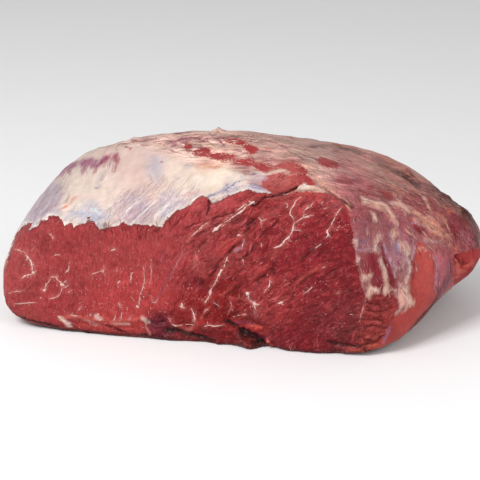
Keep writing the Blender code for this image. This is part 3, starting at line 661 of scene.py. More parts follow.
# Veins of fat in the cut face: half width in millimetres, paleness, route in pixels.
veins = rowsOf([
    # fat streak, its branches and the vein below it
    (1.1, 0.95, [[(254, 201), (250, 203.5), (246.5, 206)], [(221, 224.5), (217, 228), (212.5, 231.7)],
     [(221.6, 269), (220, 272.5), (217.9, 276)]]),
    (0.85, 0.9, [[(247, 205.5), (244, 209), (240, 212.5), (235, 216)]]),
    (0.5, 0.8, [[(246, 203.5), (241, 207.5), (236.5, 211)], [(236, 215), (231, 218), (226.5, 221),
     (220.5, 225)], [(227.5, 256.7), (226, 261), (224.2, 265), (221.8, 269.5)], [(217.9, 276), (216, 281.7),
     (212, 287.3)], [(209.5, 295.8), (206.6, 300), (204.5, 303.3)], [(261.2, 220.6), (266.7, 219.2)],
     [(269.9, 280), (269.4, 285), (267.5, 287.8), (264.6, 291)]]),
    (0.6, 0.55, [[(233, 214.5), (228.5, 217), (223.5, 220.5)], [(244.2, 240.8), (243.2, 244.5), (242, 247)],
     [(261.5, 243), (261.8, 247)], [(208.3, 221.7), (203, 225.5), (198, 230)], [(198, 230), (195, 232.8),
     (191.5, 236)]]),
    (0.35, 0.6, [[(230, 221.5), (224, 225), (219, 228.5)], [(258.3, 217.5), (261, 221), (261.6, 228.3)],
     [(240, 256.7), (242.6, 261), (244.2, 265.8)], [(267.7, 197.6), (272, 197.6), (281, 196.2), (290, 193),
     (298, 190)]]),
    (0.9, 0.7, [[(235.5, 236), (238.5, 235), (241, 234.2)], [(211.8, 287.5), (210.4, 291.6),
     (209.5, 295.8)]]),
    (0.45, 0.25, [[(241, 248), (237.5, 250.4), (233.5, 252.5)], [(195.8, 251.5), (195.4, 256),
     (195.6, 260)]]),
    (0.7, 0.75, [[(260.2, 219.4), (261.6, 221)]]),
    # forked vein at the upper right
    (0.5, 0.8, [[(301.2, 196.6), (296, 201), (293.2, 206.8), (290.4, 211), (290.4, 215.2), (293.9, 218.7)],
     [(293.9, 218.7), (294.6, 223.2), (292.8, 229.9), (289.6, 235.5)], [(294.6, 223.2), (303.7, 217.6),
     (313.5, 215.5)], [(303.7, 217.6), (304, 213.8), (305, 210), (310, 206.8), (312.8, 202.5)],
     [(341, 207.5), (336, 215.2), (331, 225.7)], [(331, 225.7), (327.5, 231.3), (328.6, 234), (326, 237.6)],
     [(321, 244), (318.4, 246), (315, 248.5)]]),
    (0.7, 0.85, [[(289.6, 235.5), (285, 240.5), (280.5, 245.4), (273.5, 248.2)]]),
    (0.35, 0.6, [[(293, 230), (297.4, 230), (301.6, 231.3)], [(285, 203.6), (287.5, 205), (286.5, 208)],
     [(327.5, 207.5), (323.3, 209)], [(322.6, 205.4), (321.5, 203), (323.3, 201)], [(334, 230), (339, 227)],
     [(325.4, 266.4), (322, 268.5)], [(312.8, 286.8), (308, 291), (303, 293.8)], [(336, 294), (340, 291)],
     [(290, 346), (291.6, 350.4)]]),
    # knots below the middle
    (1.25, 0.95, [[(245.6, 293.2), (247.4, 293.6), (248.4, 295)]]),
    (0.5, 0.8, [[(248.2, 295), (248.4, 299), (250.6, 301.2), (252.8, 302.6)]]),
    (1.1, 0.8, [[(252.6, 302.8), (255, 304.4), (256.6, 304.2)]]),
    (0.9, 0.6, [[(253.6, 305), (254.8, 307.6), (256.2, 309.8)]]),
    (0.5, 0.6, [[(255, 304), (257.4, 304.4), (259.6, 304.6)], [(274.6, 299), (275, 300)], [(285, 279.6),
     (285.8, 280.4)], [(233, 316.8), (239.9, 315), (246.6, 314.4)]]),
    (0.4, 0.4, [[(254.8, 310), (254.4, 313.4), (253.6, 316.5)], [(229.9, 300.8), (231.6, 306.6),
     (233.2, 311.6)], [(213, 302.5), (216.6, 304.4), (219, 307.5)]]),
    (0.8, 0.85, [[(277.6, 303.4), (280.4, 302.6), (283.2, 301.8)]]),
    # lower left of the middle
    (0.7, 0.9, [[(182, 303), (182, 306), (182.6, 307.6)], [(179.5, 306.2), (182, 307.4), (184.6, 308.7)],
     [(194.6, 321), (193.3, 325.7), (190.4, 329.1), (187.9, 330.9)]]),
    (0.45, 0.9, [[(191.2, 308.3), (193.3, 313.3), (194.6, 317.4), (194.6, 322.4)], [(188, 330.6),
     (184, 329.4), (180, 327), (175, 325.4), (171, 322), (168.4, 317.6)], [(203.4, 327), (208.3, 325),
     (215, 326.2), (223.3, 325)]]),
    (1, 0.9, [[(190.6, 329), (188.6, 330.4), (186.8, 331)]]),
    (0.6, 0.5, [[(208.6, 308.4), (206.4, 310.2), (204.8, 312.6)]]),
    (0.3, 0.3, [[(183, 252), (180, 258), (176, 265), (169, 279)]]),
    (0.4, 0.65, [[(151.8, 299), (153, 302), (156, 302), (158.2, 298.6)]]),
    # left end
    (0.45, 0.5, [[(14.4, 249.7), (19, 250.2), (23.5, 251.5)], [(31.9, 264.6), (34.4, 264)], [(31.3, 250.9),
     (32.6, 248.6), (34.8, 247)], [(48, 232.4), (50.6, 235), (52.6, 237)], [(54, 255.4), (57.6, 254.6),
     (60, 254.8)], [(45.4, 288), (47, 284.4), (48.4, 281), (51, 278.4)], [(61.8, 285.6), (64, 283),
     (66.4, 280.2)], [(62, 288), (65.8, 287), (68.8, 284.6)], [(61.6, 287.6), (61, 292), (57.6, 296),
     (52.4, 298), (48.6, 298.6)], [(65, 273.6), (67, 271.6), (69, 267.4), (70.4, 260.6)], [(8.4, 293.6),
     (12, 292.6), (15.6, 291.8), (20.5, 291), (25.3, 289.8)], [(13.2, 304.4), (18, 303.6), (22.9, 303.2),
     (30, 303.4), (36, 302.6)], [(90.6, 274.2), (97, 272.4), (103.4, 270.8)], [(116.6, 272), (116.8, 269)],
     [(133.8, 272.4), (131.6, 274), (131, 279), (130, 282.7)], [(143, 267), (144.6, 276), (144.6, 282.7)],
     [(144.4, 283), (142.4, 290), (140.8, 294.8)], [(140.6, 295.6), (139.6, 300), (138.3, 305.6)],
     [(132.3, 313.8), (131, 317), (129.3, 320)], [(118, 302), (119.2, 305), (120.3, 307.4)], [(115, 314),
     (114.6, 318), (113.2, 321.6)], [(121.6, 312), (121.4, 317), (119.8, 321.4)], [(64, 321.4), (66, 324.4),
     (69.6, 327.4)], [(367, 298.5), (364, 304.5), (361.4, 313), (359.2, 322.5)]]),
    (0.55, 0.9, [[(23.5, 251.5), (26, 254), (28.6, 258.4), (31.2, 262.6), (32, 266.6), (33, 272.6)],
     [(32.6, 274), (28.4, 274.8), (24.4, 275.8), (21.7, 278.2)], [(50.6, 277.6), (52.2, 276.8),
     (55.4, 277.6)], [(55.4, 276.8), (57.4, 280), (60, 282.8), (62, 285.6)], [(103.6, 272.6), (103.6, 270.8),
     (105.4, 268.8)]]),
    (1, 0.95, [[(25.9, 253.8), (27, 256.4), (28.2, 258.2)], [(31.4, 263.6), (31.9, 266.4)], [(31.8, 273.8),
     (33.4, 273.2), (35, 272.8)], [(42.4, 289.8), (44.2, 290.6), (44.8, 288.4)], [(60.8, 284), (62, 286.2)],
     [(138.2, 305.6), (136.8, 307.4)], [(95.4, 315.8), (96.8, 316.8)]]),
    (0.8, 0.7, [[(52.4, 237), (53.2, 238.4)], [(68.8, 291.4), (69.6, 292.4)], [(118.6, 281), (119.4, 282.2)],
     [(149.4, 282.4), (149.8, 283.4)], [(144.2, 282.4), (144.8, 283.4)], [(120, 306.8), (120.6, 307.8)],
     [(80.8, 307), (81.4, 308)], [(89.6, 315), (91.4, 314.2)], [(70, 314.6), (74, 315.4), (78, 316)]]),
    (0.7, 0.5, [[(40.4, 297.2), (41, 298.2)]]),
    (0.7, 0.95, [[(110.6, 250.6), (112.6, 249.6), (115.8, 248.6)]]),
    (0.3, 0.45, [[(151, 264), (151.2, 275), (150.2, 282)]]),
    (1.2, 0.8, [[(97.4, 318), (99.8, 318.8), (102, 319.6)]]),
])
# Dots and twigs of fat lie in clusters: (number, spread in pixels, middle).
clusters = [
    (30, 26, (118, 285)), (20, 24, (300, 216)), (22, 30, (302, 294)), (14, 14, (336, 224)),
    (18, 18, (58, 284)), (10, 10, (28, 262)), (34, 18, (84, 309)), (26, 24, (120, 296)),
    (14, 12, (280, 228)), (10, 8, (343, 228)), (14, 14, (188, 296)), (12, 14, (250, 306)),
    (14, 16, (145, 300)), (10, 16, (200, 250)), (8, 14, (262, 268)), (12, 20, (330, 320)),
    (46, 90, (200, 270)),
]
twig = {
    "seed": 5,
    "spacing": 0.7,
    "perVein": 2.2,  # branches on 20 pixels of a vein
    "branchLength": (1.5, 4.5),
    "branchAngle": (30, 85),
    "branchWidth": (0.4, 0.7),
    "branchPale": (0.4, 0.9),
    "dotShare": 0.55,
    "dot": (0.8, 1.4),
    "length": (1.6, 4.5),
    "lean": (98, 40),  # degrees, before and after the turn of the grain
    "halfWidth": (0.16, 0.36),
    "pale": (0.0, 0.55),
    "inset": 3.0,
    "facing": 0.25,
}

# Strands: (number, outline, angle in degrees or None along the top's slant, spread, length in pixels, half
# width in millimetres, strength, colours). The slant is given at pixels across.
topSlant = ([60, 110, 220, 300, 380, 450], [38, 10, -2, -11, -24, -40])
topColours = [
    (232, 198, 182), (218, 174, 158), (206, 150, 142), (150, 92, 102), (176, 112, 118), (120, 78, 74),
    (240, 216, 202),
]
darkLean = [(96, 26, 32), (108, 32, 38), (122, 40, 46)]
paleLean = [(188, 82, 84), (180, 72, 76), (198, 106, 106)]
leftLean = [(8, 236), (60, 224), (170, 230), (168, 318), (60, 314), (10, 302)]
middleLean = [(165, 228), (206, 202), (262, 212), (285, 250), (288, 330), (230, 320), (168, 316)]
meatStrands = [
    (420, leftLean, 97, 14, (2, 7), (0.22, 0.5), (0.25, 0.6), [(140, 50, 55),
     (128, 44, 50)] + paleLean + [(208, 128, 128), (206, 116, 116)]),
    (50, leftLean, 8, 8, (4, 10), (0.15, 0.3), (0.2, 0.45), paleLean),
    (60, [(96, 226), (165, 227), (165, 242), (96, 242)], 92, 8, (3, 9), (0.2, 0.42), (0.4, 0.8), darkLean),
    (170, middleLean, 50, 20, (6, 16), (0.4, 1.0), (0.3, 0.7), darkLean + paleLean),
    (170, middleLean, 52, 24, (2, 7), (0.2, 0.5), (0.3, 0.7), darkLean + paleLean),
    (90, [(184, 226), (206, 202), (246, 196), (300, 196), (248, 214), (206, 232)], 30, 12, (4, 12),
     (0.25, 0.6), (0.3, 0.7), darkLean + paleLean),
    (240, [(255, 210), (340, 203), (356, 250), (364, 300), (372, 344), (290, 350), (262, 326)], 38, 16,
     (2.5, 8), (0.22, 0.6), (0.3, 0.65), darkLean + paleLean),
    (60, [(266, 184), (280, 176), (306, 174), (314, 186), (290, 190), (268, 192)], 25, 18, (3, 8),
     (0.25, 0.5), (0.3, 0.6), darkLean + paleLean),
    (50, [(362, 300), (392, 300), (386, 330), (374, 346), (364, 340)], 8, 12, (4, 12), (0.25, 0.6),
     (0.4, 0.8), darkLean + [(190, 92, 88), (176, 78, 74)]),
    (40, [(150, 318), (262, 336), (262, 346), (150, 338)], 4, 14, (5, 14), (0.4, 0.9), (0.4, 0.8),
     [(70, 20, 24), (92, 30, 34), (160, 60, 60)]),
]
skinStrands = [
    (230, [(104, 150), (150, 134), (222, 127), (300, 136), (304, 156), (262, 146), (220, 142), (180, 152),
     (150, 148)], None, 9, (5, 18), (0.25, 0.6), (0.4, 0.9), topColours),
    (60, [(180, 150), (270, 158), (312, 168), (312, 178), (272, 166), (226, 164), (188, 158)], None, 12,
     (4, 12), (0.25, 0.5), (0.3, 0.6), [(236, 204, 186), (222, 176, 156), (196, 124, 116), (166, 92, 92)]),
    (240, [(300, 138), (350, 144), (410, 166), (462, 206), (448, 212), (400, 196), (340, 176), (304, 160)],
     None, 9, (5, 16), (0.22, 0.6), (0.35, 0.85), [(214, 170, 154), (198, 146, 134), (180, 116, 112),
     (112, 68, 66), (86, 50, 48), (232, 194, 178), (160, 92, 92)]),
    (80, [(328, 141), (362, 148), (366, 160), (332, 152)], -14, 6, (6, 18), (0.2, 0.5), (0.5, 0.95),
     [(96, 66, 64), (214, 168, 156), (216, 172, 158), (176, 108, 106)]),
    (200, [(384, 158), (452, 197), (444, 208), (396, 186), (374, 164)], -30, 7, (6, 20), (0.2, 0.5),
     (0.5, 0.95), [(84, 56, 54), (206, 160, 148), (216, 164, 152), (236, 206, 194), (146, 96, 92),
     (182, 114, 112)]),
    (70, [(304, 162), (318, 164), (350, 190), (352, 206), (332, 198), (308, 178)], -42, 10, (5, 14),
     (0.2, 0.45), (0.35, 0.7), [(214, 170, 150), (202, 150, 132), (136, 88, 78), (176, 112, 102)]),
    (110, [(340, 176), (400, 188), (440, 212), (400, 208), (352, 204)], -22, 14, (4, 14), (0.2, 0.5),
     (0.3, 0.7), [(178, 120, 120), (196, 148, 142), (140, 70, 78), (160, 96, 100), (150, 60, 62)]),
    (120, [(353, 206), (396, 212), (396, 290), (366, 294), (356, 250)], -80, 14, (4, 12), (0.2, 0.5),
     (0.3, 0.75), [(184, 148, 168), (176, 118, 126), (138, 56, 64), (208, 158, 144), (150, 88, 98),
     (224, 186, 170)]),
    (30, [(353, 214), (376, 214), (376, 250), (356, 250)], 2, 5, (5, 12), (0.2, 0.35), (0.3, 0.6),
     [(184, 140, 152), (178, 124, 134)]),
    (130, [(394, 206), (430, 208), (458, 226), (458, 246), (420, 246), (396, 240)], -48, 14, (4, 14),
     (0.22, 0.55), (0.35, 0.8), [(210, 156, 136), (222, 176, 158), (146, 62, 70), (184, 142, 160),
     (160, 92, 100)]),
    (100, [(394, 242), (456, 246), (450, 292), (436, 292), (434, 256), (416, 248), (411, 292), (400, 292)],
     -84, 10, (4, 14), (0.2, 0.5), (0.3, 0.75), [(188, 144, 160), (206, 158, 158), (142, 60, 70),
     (214, 170, 156), (176, 96, 104)]),
    (60, [(446, 204), (462, 208), (476, 226), (476, 250), (458, 246)], -62, 12, (4, 10), (0.25, 0.5),
     (0.4, 0.8), [(150, 84, 78), (96, 50, 46), (184, 128, 112), (70, 36, 32)]),
    (170, [(98, 222), (104, 208), (128, 196), (150, 188), (184, 194), (196, 198), (170, 216), (158, 226)],
     46, 4, (9, 24), (0.2, 0.42), (0.3, 0.65), [(246, 236, 230), (244, 232, 226), (196, 168, 188),
     (184, 150, 174), (204, 188, 204), (236, 210, 204)]),
    (60, [(62, 222), (66, 212), (92, 206), (108, 212), (98, 226)], 28, 12, (4, 10), (0.25, 0.5), (0.3, 0.7),
     [(240, 238, 240), (186, 182, 206), (206, 200, 216)]),
    (90, [(12, 238), (30, 206), (56, 178), (62, 186), (56, 212), (30, 230)], 54, 4, (10, 26), (0.2, 0.4),
     (0.25, 0.55), [(218, 204, 212), (180, 162, 180), (236, 220, 216), (204, 150, 138)]),
    (60, [(54, 182), (64, 166), (78, 160), (78, 168), (68, 178), (60, 184)], 60, 8, (3, 7), (0.2, 0.4),
     (0.3, 0.6), [(146, 74, 106), (164, 92, 124), (186, 128, 150), (226, 196, 196)]),
    (60, [(79, 176), (79, 160), (98, 156), (100, 166), (94, 178)], 66, 8, (3, 8), (0.2, 0.4), (0.3, 0.6),
     [(146, 76, 106), (168, 98, 128), (188, 130, 150), (228, 198, 196)]),
    (60, [(98, 168), (102, 154), (120, 150), (121, 166), (114, 176)], 70, 8, (3, 8), (0.2, 0.4), (0.3, 0.6),
     [(160, 72, 92), (172, 92, 112), (192, 130, 140), (230, 196, 190)]),
    (50, [(206, 200), (222, 186), (242, 178), (244, 186), (224, 198)], 32, 14, (2, 6), (0.2, 0.42),
     (0.5, 0.9), [(250, 242, 240), (112, 108, 150), (150, 146, 182), (228, 214, 220)]),
]

# A coat shows its pigment times the light on it, with a veil of gloss on top: (light, veil).
gloss = {"meat": (1.15, 0.012), "skin": (1.2, 0.014), "fat": (1.25, 0.014)}
darkest = 0.004


def linear(colour):
    # sRGB bytes to linear light.
    share = np.asarray(colour, float) / 255.0
    return np.where(share <= 0.04045, share / 12.92, ((share + 0.055) / 1.055) ** 2.4)


def pigment(tone, coat="meat"):
    # The pigment that shows as the tone under the studio's light.
    light, veil = gloss[coat]
    return np.maximum((linear(tone) - veil) / light, darkest)


def onSkin(pixels):
    # Rays from the heart to the surface points that show at pixels, by halving the lines of sight.
    pixels = np.asarray(pixels, float)
    middle = view["pixels"] / 2
    sight = -back + np.outer(pixels[:, 0] - middle, right) / focal
    sight = unit(sight + np.outer(middle - pixels[:, 1], up) / focal)
    near = np.zeros(len(pixels))
    far = (heart - eye) @ sight.T
    for _ in range(40):
        half = (near + far) / 2
        off = eye + sight * half[:, None] - heart
        size = np.linalg.norm(off, axis=1)
        inside = size < reach(off / size[:, None])
        far = np.where(inside, half, far)
        near = np.where(inside, near, half)
    return unit(eye + sight * near[:, None] - heart)


def onForm(spots):
    # Places on the smooth surface along the rays from the heart through spots.
    spots = unit(np.asarray(spots, float) - heart)
    return heart + spots * reach(spots)[:, None]


features = [(-depth, halfWidth, onForm(route)) for route, halfWidth, depth in form["grooves"]]
features += [(height, halfWidth, onForm(route)) for route, halfWidth, height in form["swells"]]
features += [(height, halfWidth, onForm(heart + onSkin(route))) for height, halfWidth, route in lobes]

# Scale and shift in millimetres that fit the finished surface to the solid's box.
fit = {"scale": np.ones(3), "shift": np.zeros(3)}


def survey(rays):
    # For each ray: its place on the form, the smooth surface's normal, its pixel, and from -1 to 1 how much
    # it faces the camera.
    smooth = heart + rays * reach(rays)[:, None]
    height = np.zeros(len(rays))
    for tall, halfWidth, route in features:
        height += tall * bell(smooth, route, halfWidth)
    place = smooth + rays * height[:, None]
    step = 0.5
    slope = np.zeros_like(smooth)
    for axis in range(3):
        shift = np.zeros(3)
        shift[axis] = step
        for sign in (-1.0, 1.0):
            off = smooth + sign * shift - heart
            far = np.linalg.norm(off, axis=1)
            slope[:, axis] += sign * (far - reach(off / far[:, None]))
    normal = unit(slope)
    return place, normal, toPixels(place * fit["scale"] + fit["shift"]), normal @ back


def brushed(paint, pixels, coat, waver):
    # A colour for each pixel: the weighted mean of the dabs, with areas and strokes laid over it. The waver
    # swells and shrinks the strokes.
    base = pigment(paint["base"], coat)
    weight = np.full(len(pixels), 0.03)
    colour = np.outer(weight, base)
    for tone, radius, middle in paint["dabs"]:
        share = np.exp(-np.sum((pixels - middle) ** 2, axis=1) / radius ** 2)
        colour += np.outer(share, pigment(tone, coat))
        weight += share
    colour /= weight[:, None]
    for tone, softness, strength, outline in paint["areas"]:
        share = strength * ramp(inOutline(pixels, outline), -softness, softness)
        colour = mixed(colour, pigment(tone, coat), share[:, None])
    for tone, halfWidth, strength, route in paint["strokes"]:
        gap = offRoute(pixels, route, 3.2 * halfWidth) / (halfWidth * waver)
        colour = mixed(colour, pigment(tone, coat), (strength * np.exp(-gap ** 3))[:, None])
    return colour


# How the sides that the picture doesn't show are finished, and how much of them skin and fat cover.
farSide = {
    "tan": (202, 162, 150),
    "mauve": (168, 110, 110),
    "dark": (112, 56, 54),
    "red": (154, 62, 62),
    "cream": (232, 206, 190),
    "blush": (206, 156, 146),
    "skinLevel": 0.5,
    "skinSlope": 4.0,
    "fatLack": 0.8,
    "fatLeftEnd": 1.7,
    "fatSlope": 8.0,
}
# How strongly tones vary from place to place, the painted shade by the floor, the halo of the veins, and the
# painted shadow and highlight along the rim of the fat cap.
tones = {
    "leanClouds": 0.16,
    "leanPatches": 0.15,
    "skinClouds": 0.2,
    "fatClouds": 0.1,
    "foot": 0.5,
    "halo": (198, 112, 106),
    "haloStrength": 0.45,
    "haloReach": 1.4,
    "rim": (248, 238, 228),
    "rimLight": 0.75,
    "rimShadow": 0.36,
    "rimWidth": 1.7,
}
# Pixel spans over which the grain turns, the flank begins and the cap ends, and outlines of its film.
zones = {
    "grainTurn": (165.0, 245.0),
    "flankAcross": (345.0, 365.0),
    "flankDown": (202.0, 232.0),
    "capEnd": (262.0, 285.0),
    "film": [
        [(98, 214), (118, 200), (146, 192), (176, 200), (196, 196), (196, 206), (168, 232), (98, 236)],
        [(62, 184), (66, 226), (2, 262), (14, 220)],
    ],
}
pixelSize = 0.83  # millimetres that a pixel spans on the cut face
girth = 90.0  # millimetres from the heart to the skin, for the streaks along the body
# The ragged red islands in the skin have gentle edges and reach past their outlines.
islandSlope = 0.55
islandGrowth = 0.5


def warped(place, pixels, share):
    # Pixels pushed about by noise, so that edges and strokes don't run straight.
    across = noise(place, 9.0, 1) * 1.2 + noise(place, 3.6, 2) * 0.9
    down = noise(place, 9.0, 3) * 1.2 + noise(place, 3.6, 4) * 0.9
    return pixels + share * np.stack([across, down], axis=1)


def layered(place, normal, pixels, towards):
    # The three coats at each place: meat, skin and fat, each a colour, and the skin's and fat's edges as
    # signed distances in millimetres, positive where the coat lies.
    soft = warped(place, pixels, 1.0)
    crisp = warped(place, pixels, 0.45)
    waver = np.clip(1.0 + 0.5 * noise(place, 7.0, 10) + 0.35 * noise(place, 3.2, 11), 0.35, 2.0)
    meat = brushed(meatPaint, soft, "meat", waver)
    skin = brushed(skinPaint, soft, "skin", waver)
    fat = brushed(fatPaint, soft, "fat", waver)
    for halfWidth, pale, route in veins:
        gap = offRoute(crisp, route, 8.0) / (halfWidth / pixelSize + tones["haloReach"])
        halo = tones["haloStrength"] * pale * np.exp(-gap ** 2)
        meat = mixed(meat, pigment(tones["halo"]), halo[:, None])
    # Painted shadow on the meat along the fat cap's edge, and a painted highlight along the fat's rim there.
    rim = np.exp(-(offRoute(crisp, capEdge, 8.0) / tones["rimWidth"]) ** 2)
    meat *= (1.0 - tones["rimShadow"] * rim)[:, None]
    fat = mixed(fat, pigment(tones["rim"], "fat"), (tones["rimLight"] * rim)[:, None])
    bare = np.full(len(place), -farOff)
    for outline in bareMeat:
        edge = inOutline(crisp, outline)
        bare = np.maximum(bare, edge if outline is bareMeat[0] else islandSlope * edge + islandGrowth)
    fatEdge = np.full(len(place), -farOff)
    for outline in fatOutlines:
        fatEdge = np.maximum(fatEdge, inOutline(crisp, outline))
    for halfWidth, route in fatStrokes:
        fatEdge = np.maximum(fatEdge, halfWidth * waver - nearRoute(crisp, route))
    skinEdge = -bare * pixelSize
    fatEdge = fatEdge * pixelSize

    around = np.arctan2(place[:, 2] - heart[2], place[:, 1] - heart[1])
    flow = np.stack((place[:, 0] - heart[0], girth * np.cos(around), girth * np.sin(around)), axis=1)
    # plain places at both ends, where the flow has a pole
    flow = mixed(flow, place - heart, ramp(np.abs(normal[:, 0]), 0.45, 0.8)[:, None])
    drawn = stretched(flow, (1, 0, 0), 6)
    streak = noise(drawn, 7.0, 5) + 0.5 * noise(drawn, 3.4, 6)
    cloud = noise(place, 30.0, 7)
    low = ramp(place[:, 2], 70.0, 10.0)
    tail = ramp(place[:, 0], 120.0, 190.0)
    farSkin = mixed(pigment(farSide["mauve"], "skin"), pigment(farSide["tan"], "skin"),
                    ramp(streak * 0.6 + cloud, -0.8, 0.7)[:, None])
    farSkin = mixed(farSkin, pigment(farSide["dark"], "skin"), (0.55 * tail + 0.35 * low)[:, None])
    farMeat = np.tile(pigment(farSide["red"]), (len(place), 1))
    farFat = mixed(pigment(farSide["blush"], "fat"), pigment(farSide["cream"], "fat"),
                   ramp(cloud - low, -0.5, 0.4)[:, None])
    leftEnd = ramp(place[:, 0], -120.0, -170.0) * ramp(place[:, 2], 18.0, 60.0)
    farFatEdge = (0.35 * streak + noise(place, 22.0, 8) + 0.3 * noise(place, 8.0, 17) - farSide["fatLack"]
                  + farSide["fatLeftEnd"] * leftEnd - 0.3 * low) * farSide["fatSlope"]
    islands = noise(stretched(flow, (1, 0, 0), 3), 12.0, 9)
    farSkinEdge = (islands + farSide["skinLevel"]) * farSide["skinSlope"]

    seen = ramp(towards, 0.0, 0.14)
    meat = mixed(farMeat, meat, seen[:, None])
    skin = mixed(farSkin, skin, seen[:, None])
    fat = mixed(farFat, fat, seen[:, None])
    skinEdge = mixed(farSkinEdge, skinEdge, seen)
    fatEdge = mixed(farFatEdge, fatEdge, seen)
    cut = seen * ramp(inOutline(pixels, bareMeat[0]), -1.0, 3.0)
    turn = ramp(pixels[:, 0], *zones["grainTurn"]) * seen
    upright = seen * ramp(pixels[:, 0], *zones["flankAcross"]) * ramp(pixels[:, 1], *zones["flankDown"])
    cap = 1.0 - seen * ramp(pixels[:, 0], *zones["capEnd"])
    top = ramp(nearRoute(pixels, capEdge) - nearRoute(pixels, capTop), -2.0, 2.0)
    film = np.maximum(inOutline(pixels, zones["film"][0]), inOutline(pixels, zones["film"][1]))
    patches = noise(stretched(place, (0.8, 0, 0.62), 1.6), 6.5, 12) * (0.35 + 0.65 * turn) * cut
    lean = 1.0 + tones["leanClouds"] * noise(place, 19.0, 13) + tones["leanPatches"] * patches
    # painted shade: every coat darker near the floor where the surface turns down
    foot = 1.0 - tones["foot"] * ramp(place[:, 2], 9.0, 0.5) * ramp(-normal[:, 2], -0.35, 0.3)
    meat = meat * (lean * foot)[:, None]
    skinTone = 1.0 + tones["skinClouds"] * (streak * 0.7 + 0.4 * noise(place, 11.0, 14))
    skin = skin * (skinTone * foot)[:, None]
    fatTone = 1.0 + tones["fatClouds"] * (noise(place, 12.0, 15) + noise(place, 5.0, 16))
    fat = fat * (fatTone * foot)[:, None]
    return {"meatTint": meat, "skinTint": skin, "fatTint": fat, "skinEdge": skinEdge, "fatEdge": fatEdge,
            "cut": cut, "turn": turn, "upright": upright, "flow": flow, "blur": 0.7 + 5.0 * top * seen,
            "cap": cap, "filmy": seen * ramp(film, -3.0, 3.0)}


# Heights of the fine forms, in millimetres.
relief = {
    "leanWaves": 0.7,
    "leanFibres": 0.6,
    "leanCreases": 1.6,
    "fatWaves": 0.8,
    "fatProud": 0.9,
    "skinStreaks": 0.7,
}
leftGrain = (0.12, 0.0, 1.0)
rightGrain = (0.8, 0.0, 0.62)


def skinHeight(place, pixels, towards, coats):
    # Height over the form, in millimetres: waves and fibres for each coat, then the creases and lumps.
    fat = ramp(coats["fatEdge"], -0.8, 1.2)
    skin = ramp(coats["skinEdge"], -1.0, 1.0)
    lean = (1.0 - fat) * (1.0 - skin)
    turn = coats["turn"]
    cut = coats["cut"]
    fibres = (1 - turn) * noise(stretched(place, leftGrain, 4), 3.2, 21)
    fibres += turn * 1.6 * noise(stretched(place, rightGrain, 3), 4.2, 22)
    ridges = 1.0 - np.abs(noise(stretched(place, rightGrain, 3.0), 7.0, 23)) * 5.0
    creases = np.maximum(ridges, 0.0) * ramp(noise(place, 14.0, 24), -0.1, 0.3) * cut * (0.15 + 0.85 * turn)
    height = lean * relief["leanWaves"] * (noise(place, 24.0, 20) + 0.5 * noise(place, 8.0, 25))
    height += lean * (0.3 + 0.7 * cut) * relief["leanFibres"] * fibres
    height -= lean * relief["leanCreases"] * creases
    height += fat * (relief["fatProud"] + relief["fatWaves"] * noise(place, 17.0, 26))
    height += fat * 0.3 * noise(stretched(place, (0.7, 0.2, 0.5), 3), 4.0, 27)
    along = noise(stretched(coats["flow"], (1, 0, 0), 5), 4.5, 28)
    downward = noise(stretched(place, (0.1, 0, 1), 5), 4.5, 29)
    streaks = mixed(along, downward, coats["upright"])
    height += (1 - fat) * skin * relief["skinStreaks"] * (streaks + 0.8 * noise(place, 15.0, 30))
    seen = ramp(towards, 0.0, 0.1)
    bent = warped(place, pixels, 0.8)
    for tall, halfWidth, route in marks:
        height += seen * tall * bell(bent, route, halfWidth)
    return height


def boxFaces(cells, coarse):
    # The six sides of a box of cells, faces outwards. A side is a grid of two cell numbers, and a coarse
    # side has cells of double size, whose outer edges keep the middle corner of the fine side beside it.
    span = np.array(cells) + 1
    corners = np.array([(0, 0), (0.5, 0), (1, 0), (1, 0.5), (1, 1), (0.5, 1), (0, 1), (0, 0.5)])
    numbers = []
    keeps = []
    for axis in range(3):
        first, second = (axis + 1) % 3, (axis + 2) % 3
        for side in (0, 1):
            stride = 2 if (axis, side) in coarse else 1
            a, b = np.meshgrid(np.arange(0, cells[first], stride), np.arange(0, cells[second], stride))
            a, b = a.ravel(), b.ravel()
            spots = np.zeros((len(a), 8, 3), int)
            spots[:, :, axis] = side * cells[axis]
            spots[:, :, first] = a[:, None] + corners[:, 0] * stride
            spots[:, :, second] = b[:, None] + corners[:, 1] * stride
            keep = np.zeros((len(a), 8), bool)
            keep[:, ::2] = True
            if stride == 2:
                keep[:, 1] = (b == 0) & ((second, 0) not in coarse)
                keep[:, 3] = (a + stride == cells[first]) & ((first, 1) not in coarse)
                keep[:, 5] = (b + stride == cells[second]) & ((second, 1) not in coarse)
                keep[:, 7] = (a == 0) & ((first, 0) not in coarse)
            number = (spots[:, :, 0] * span[1] + spots[:, :, 1]) * span[2] + spots[:, :, 2]
            numbers.append(number if side else number[:, ::-1])
            keeps.append(keep if side else keep[:, ::-1])
    keeps = np.concatenate(keeps)
    used, loops = np.unique(np.concatenate(numbers)[keeps], return_inverse=True)
    shares = np.stack((used // (span[1] * span[2]), used // span[2] % span[1], used % span[2]), axis=1)
    faces = [part.tolist() for part in np.split(loops, np.cumsum(keeps.sum(axis=1))[:-1])]
    return shares / np.array(cells), faces


def blankPlaces(shares):
    # Weighted mean of the blank's eight corners, the weights being the products of the three shares.
    shares = shares.copy()
    shares[:, 1] **= form["growth"]
    signed = shares * 2.0 - 1.0
    places = np.zeros_like(signed)
    for corner, spot in form["corners"].items():
        places += np.outer(np.prod((1.0 + signed * corner) / 2.0, axis=1), spot)
    return places


def finishedPlaces(rays, lift=0.0):
    # Places of the finished surface along rays, with its normals and coats.
    place, normal, pixels, towards = survey(rays)
    coats = layered(place, normal, pixels, towards)
    height = skinHeight(place, pixels, towards, coats) + lift
    return place + normal * height[:, None], normal, coats


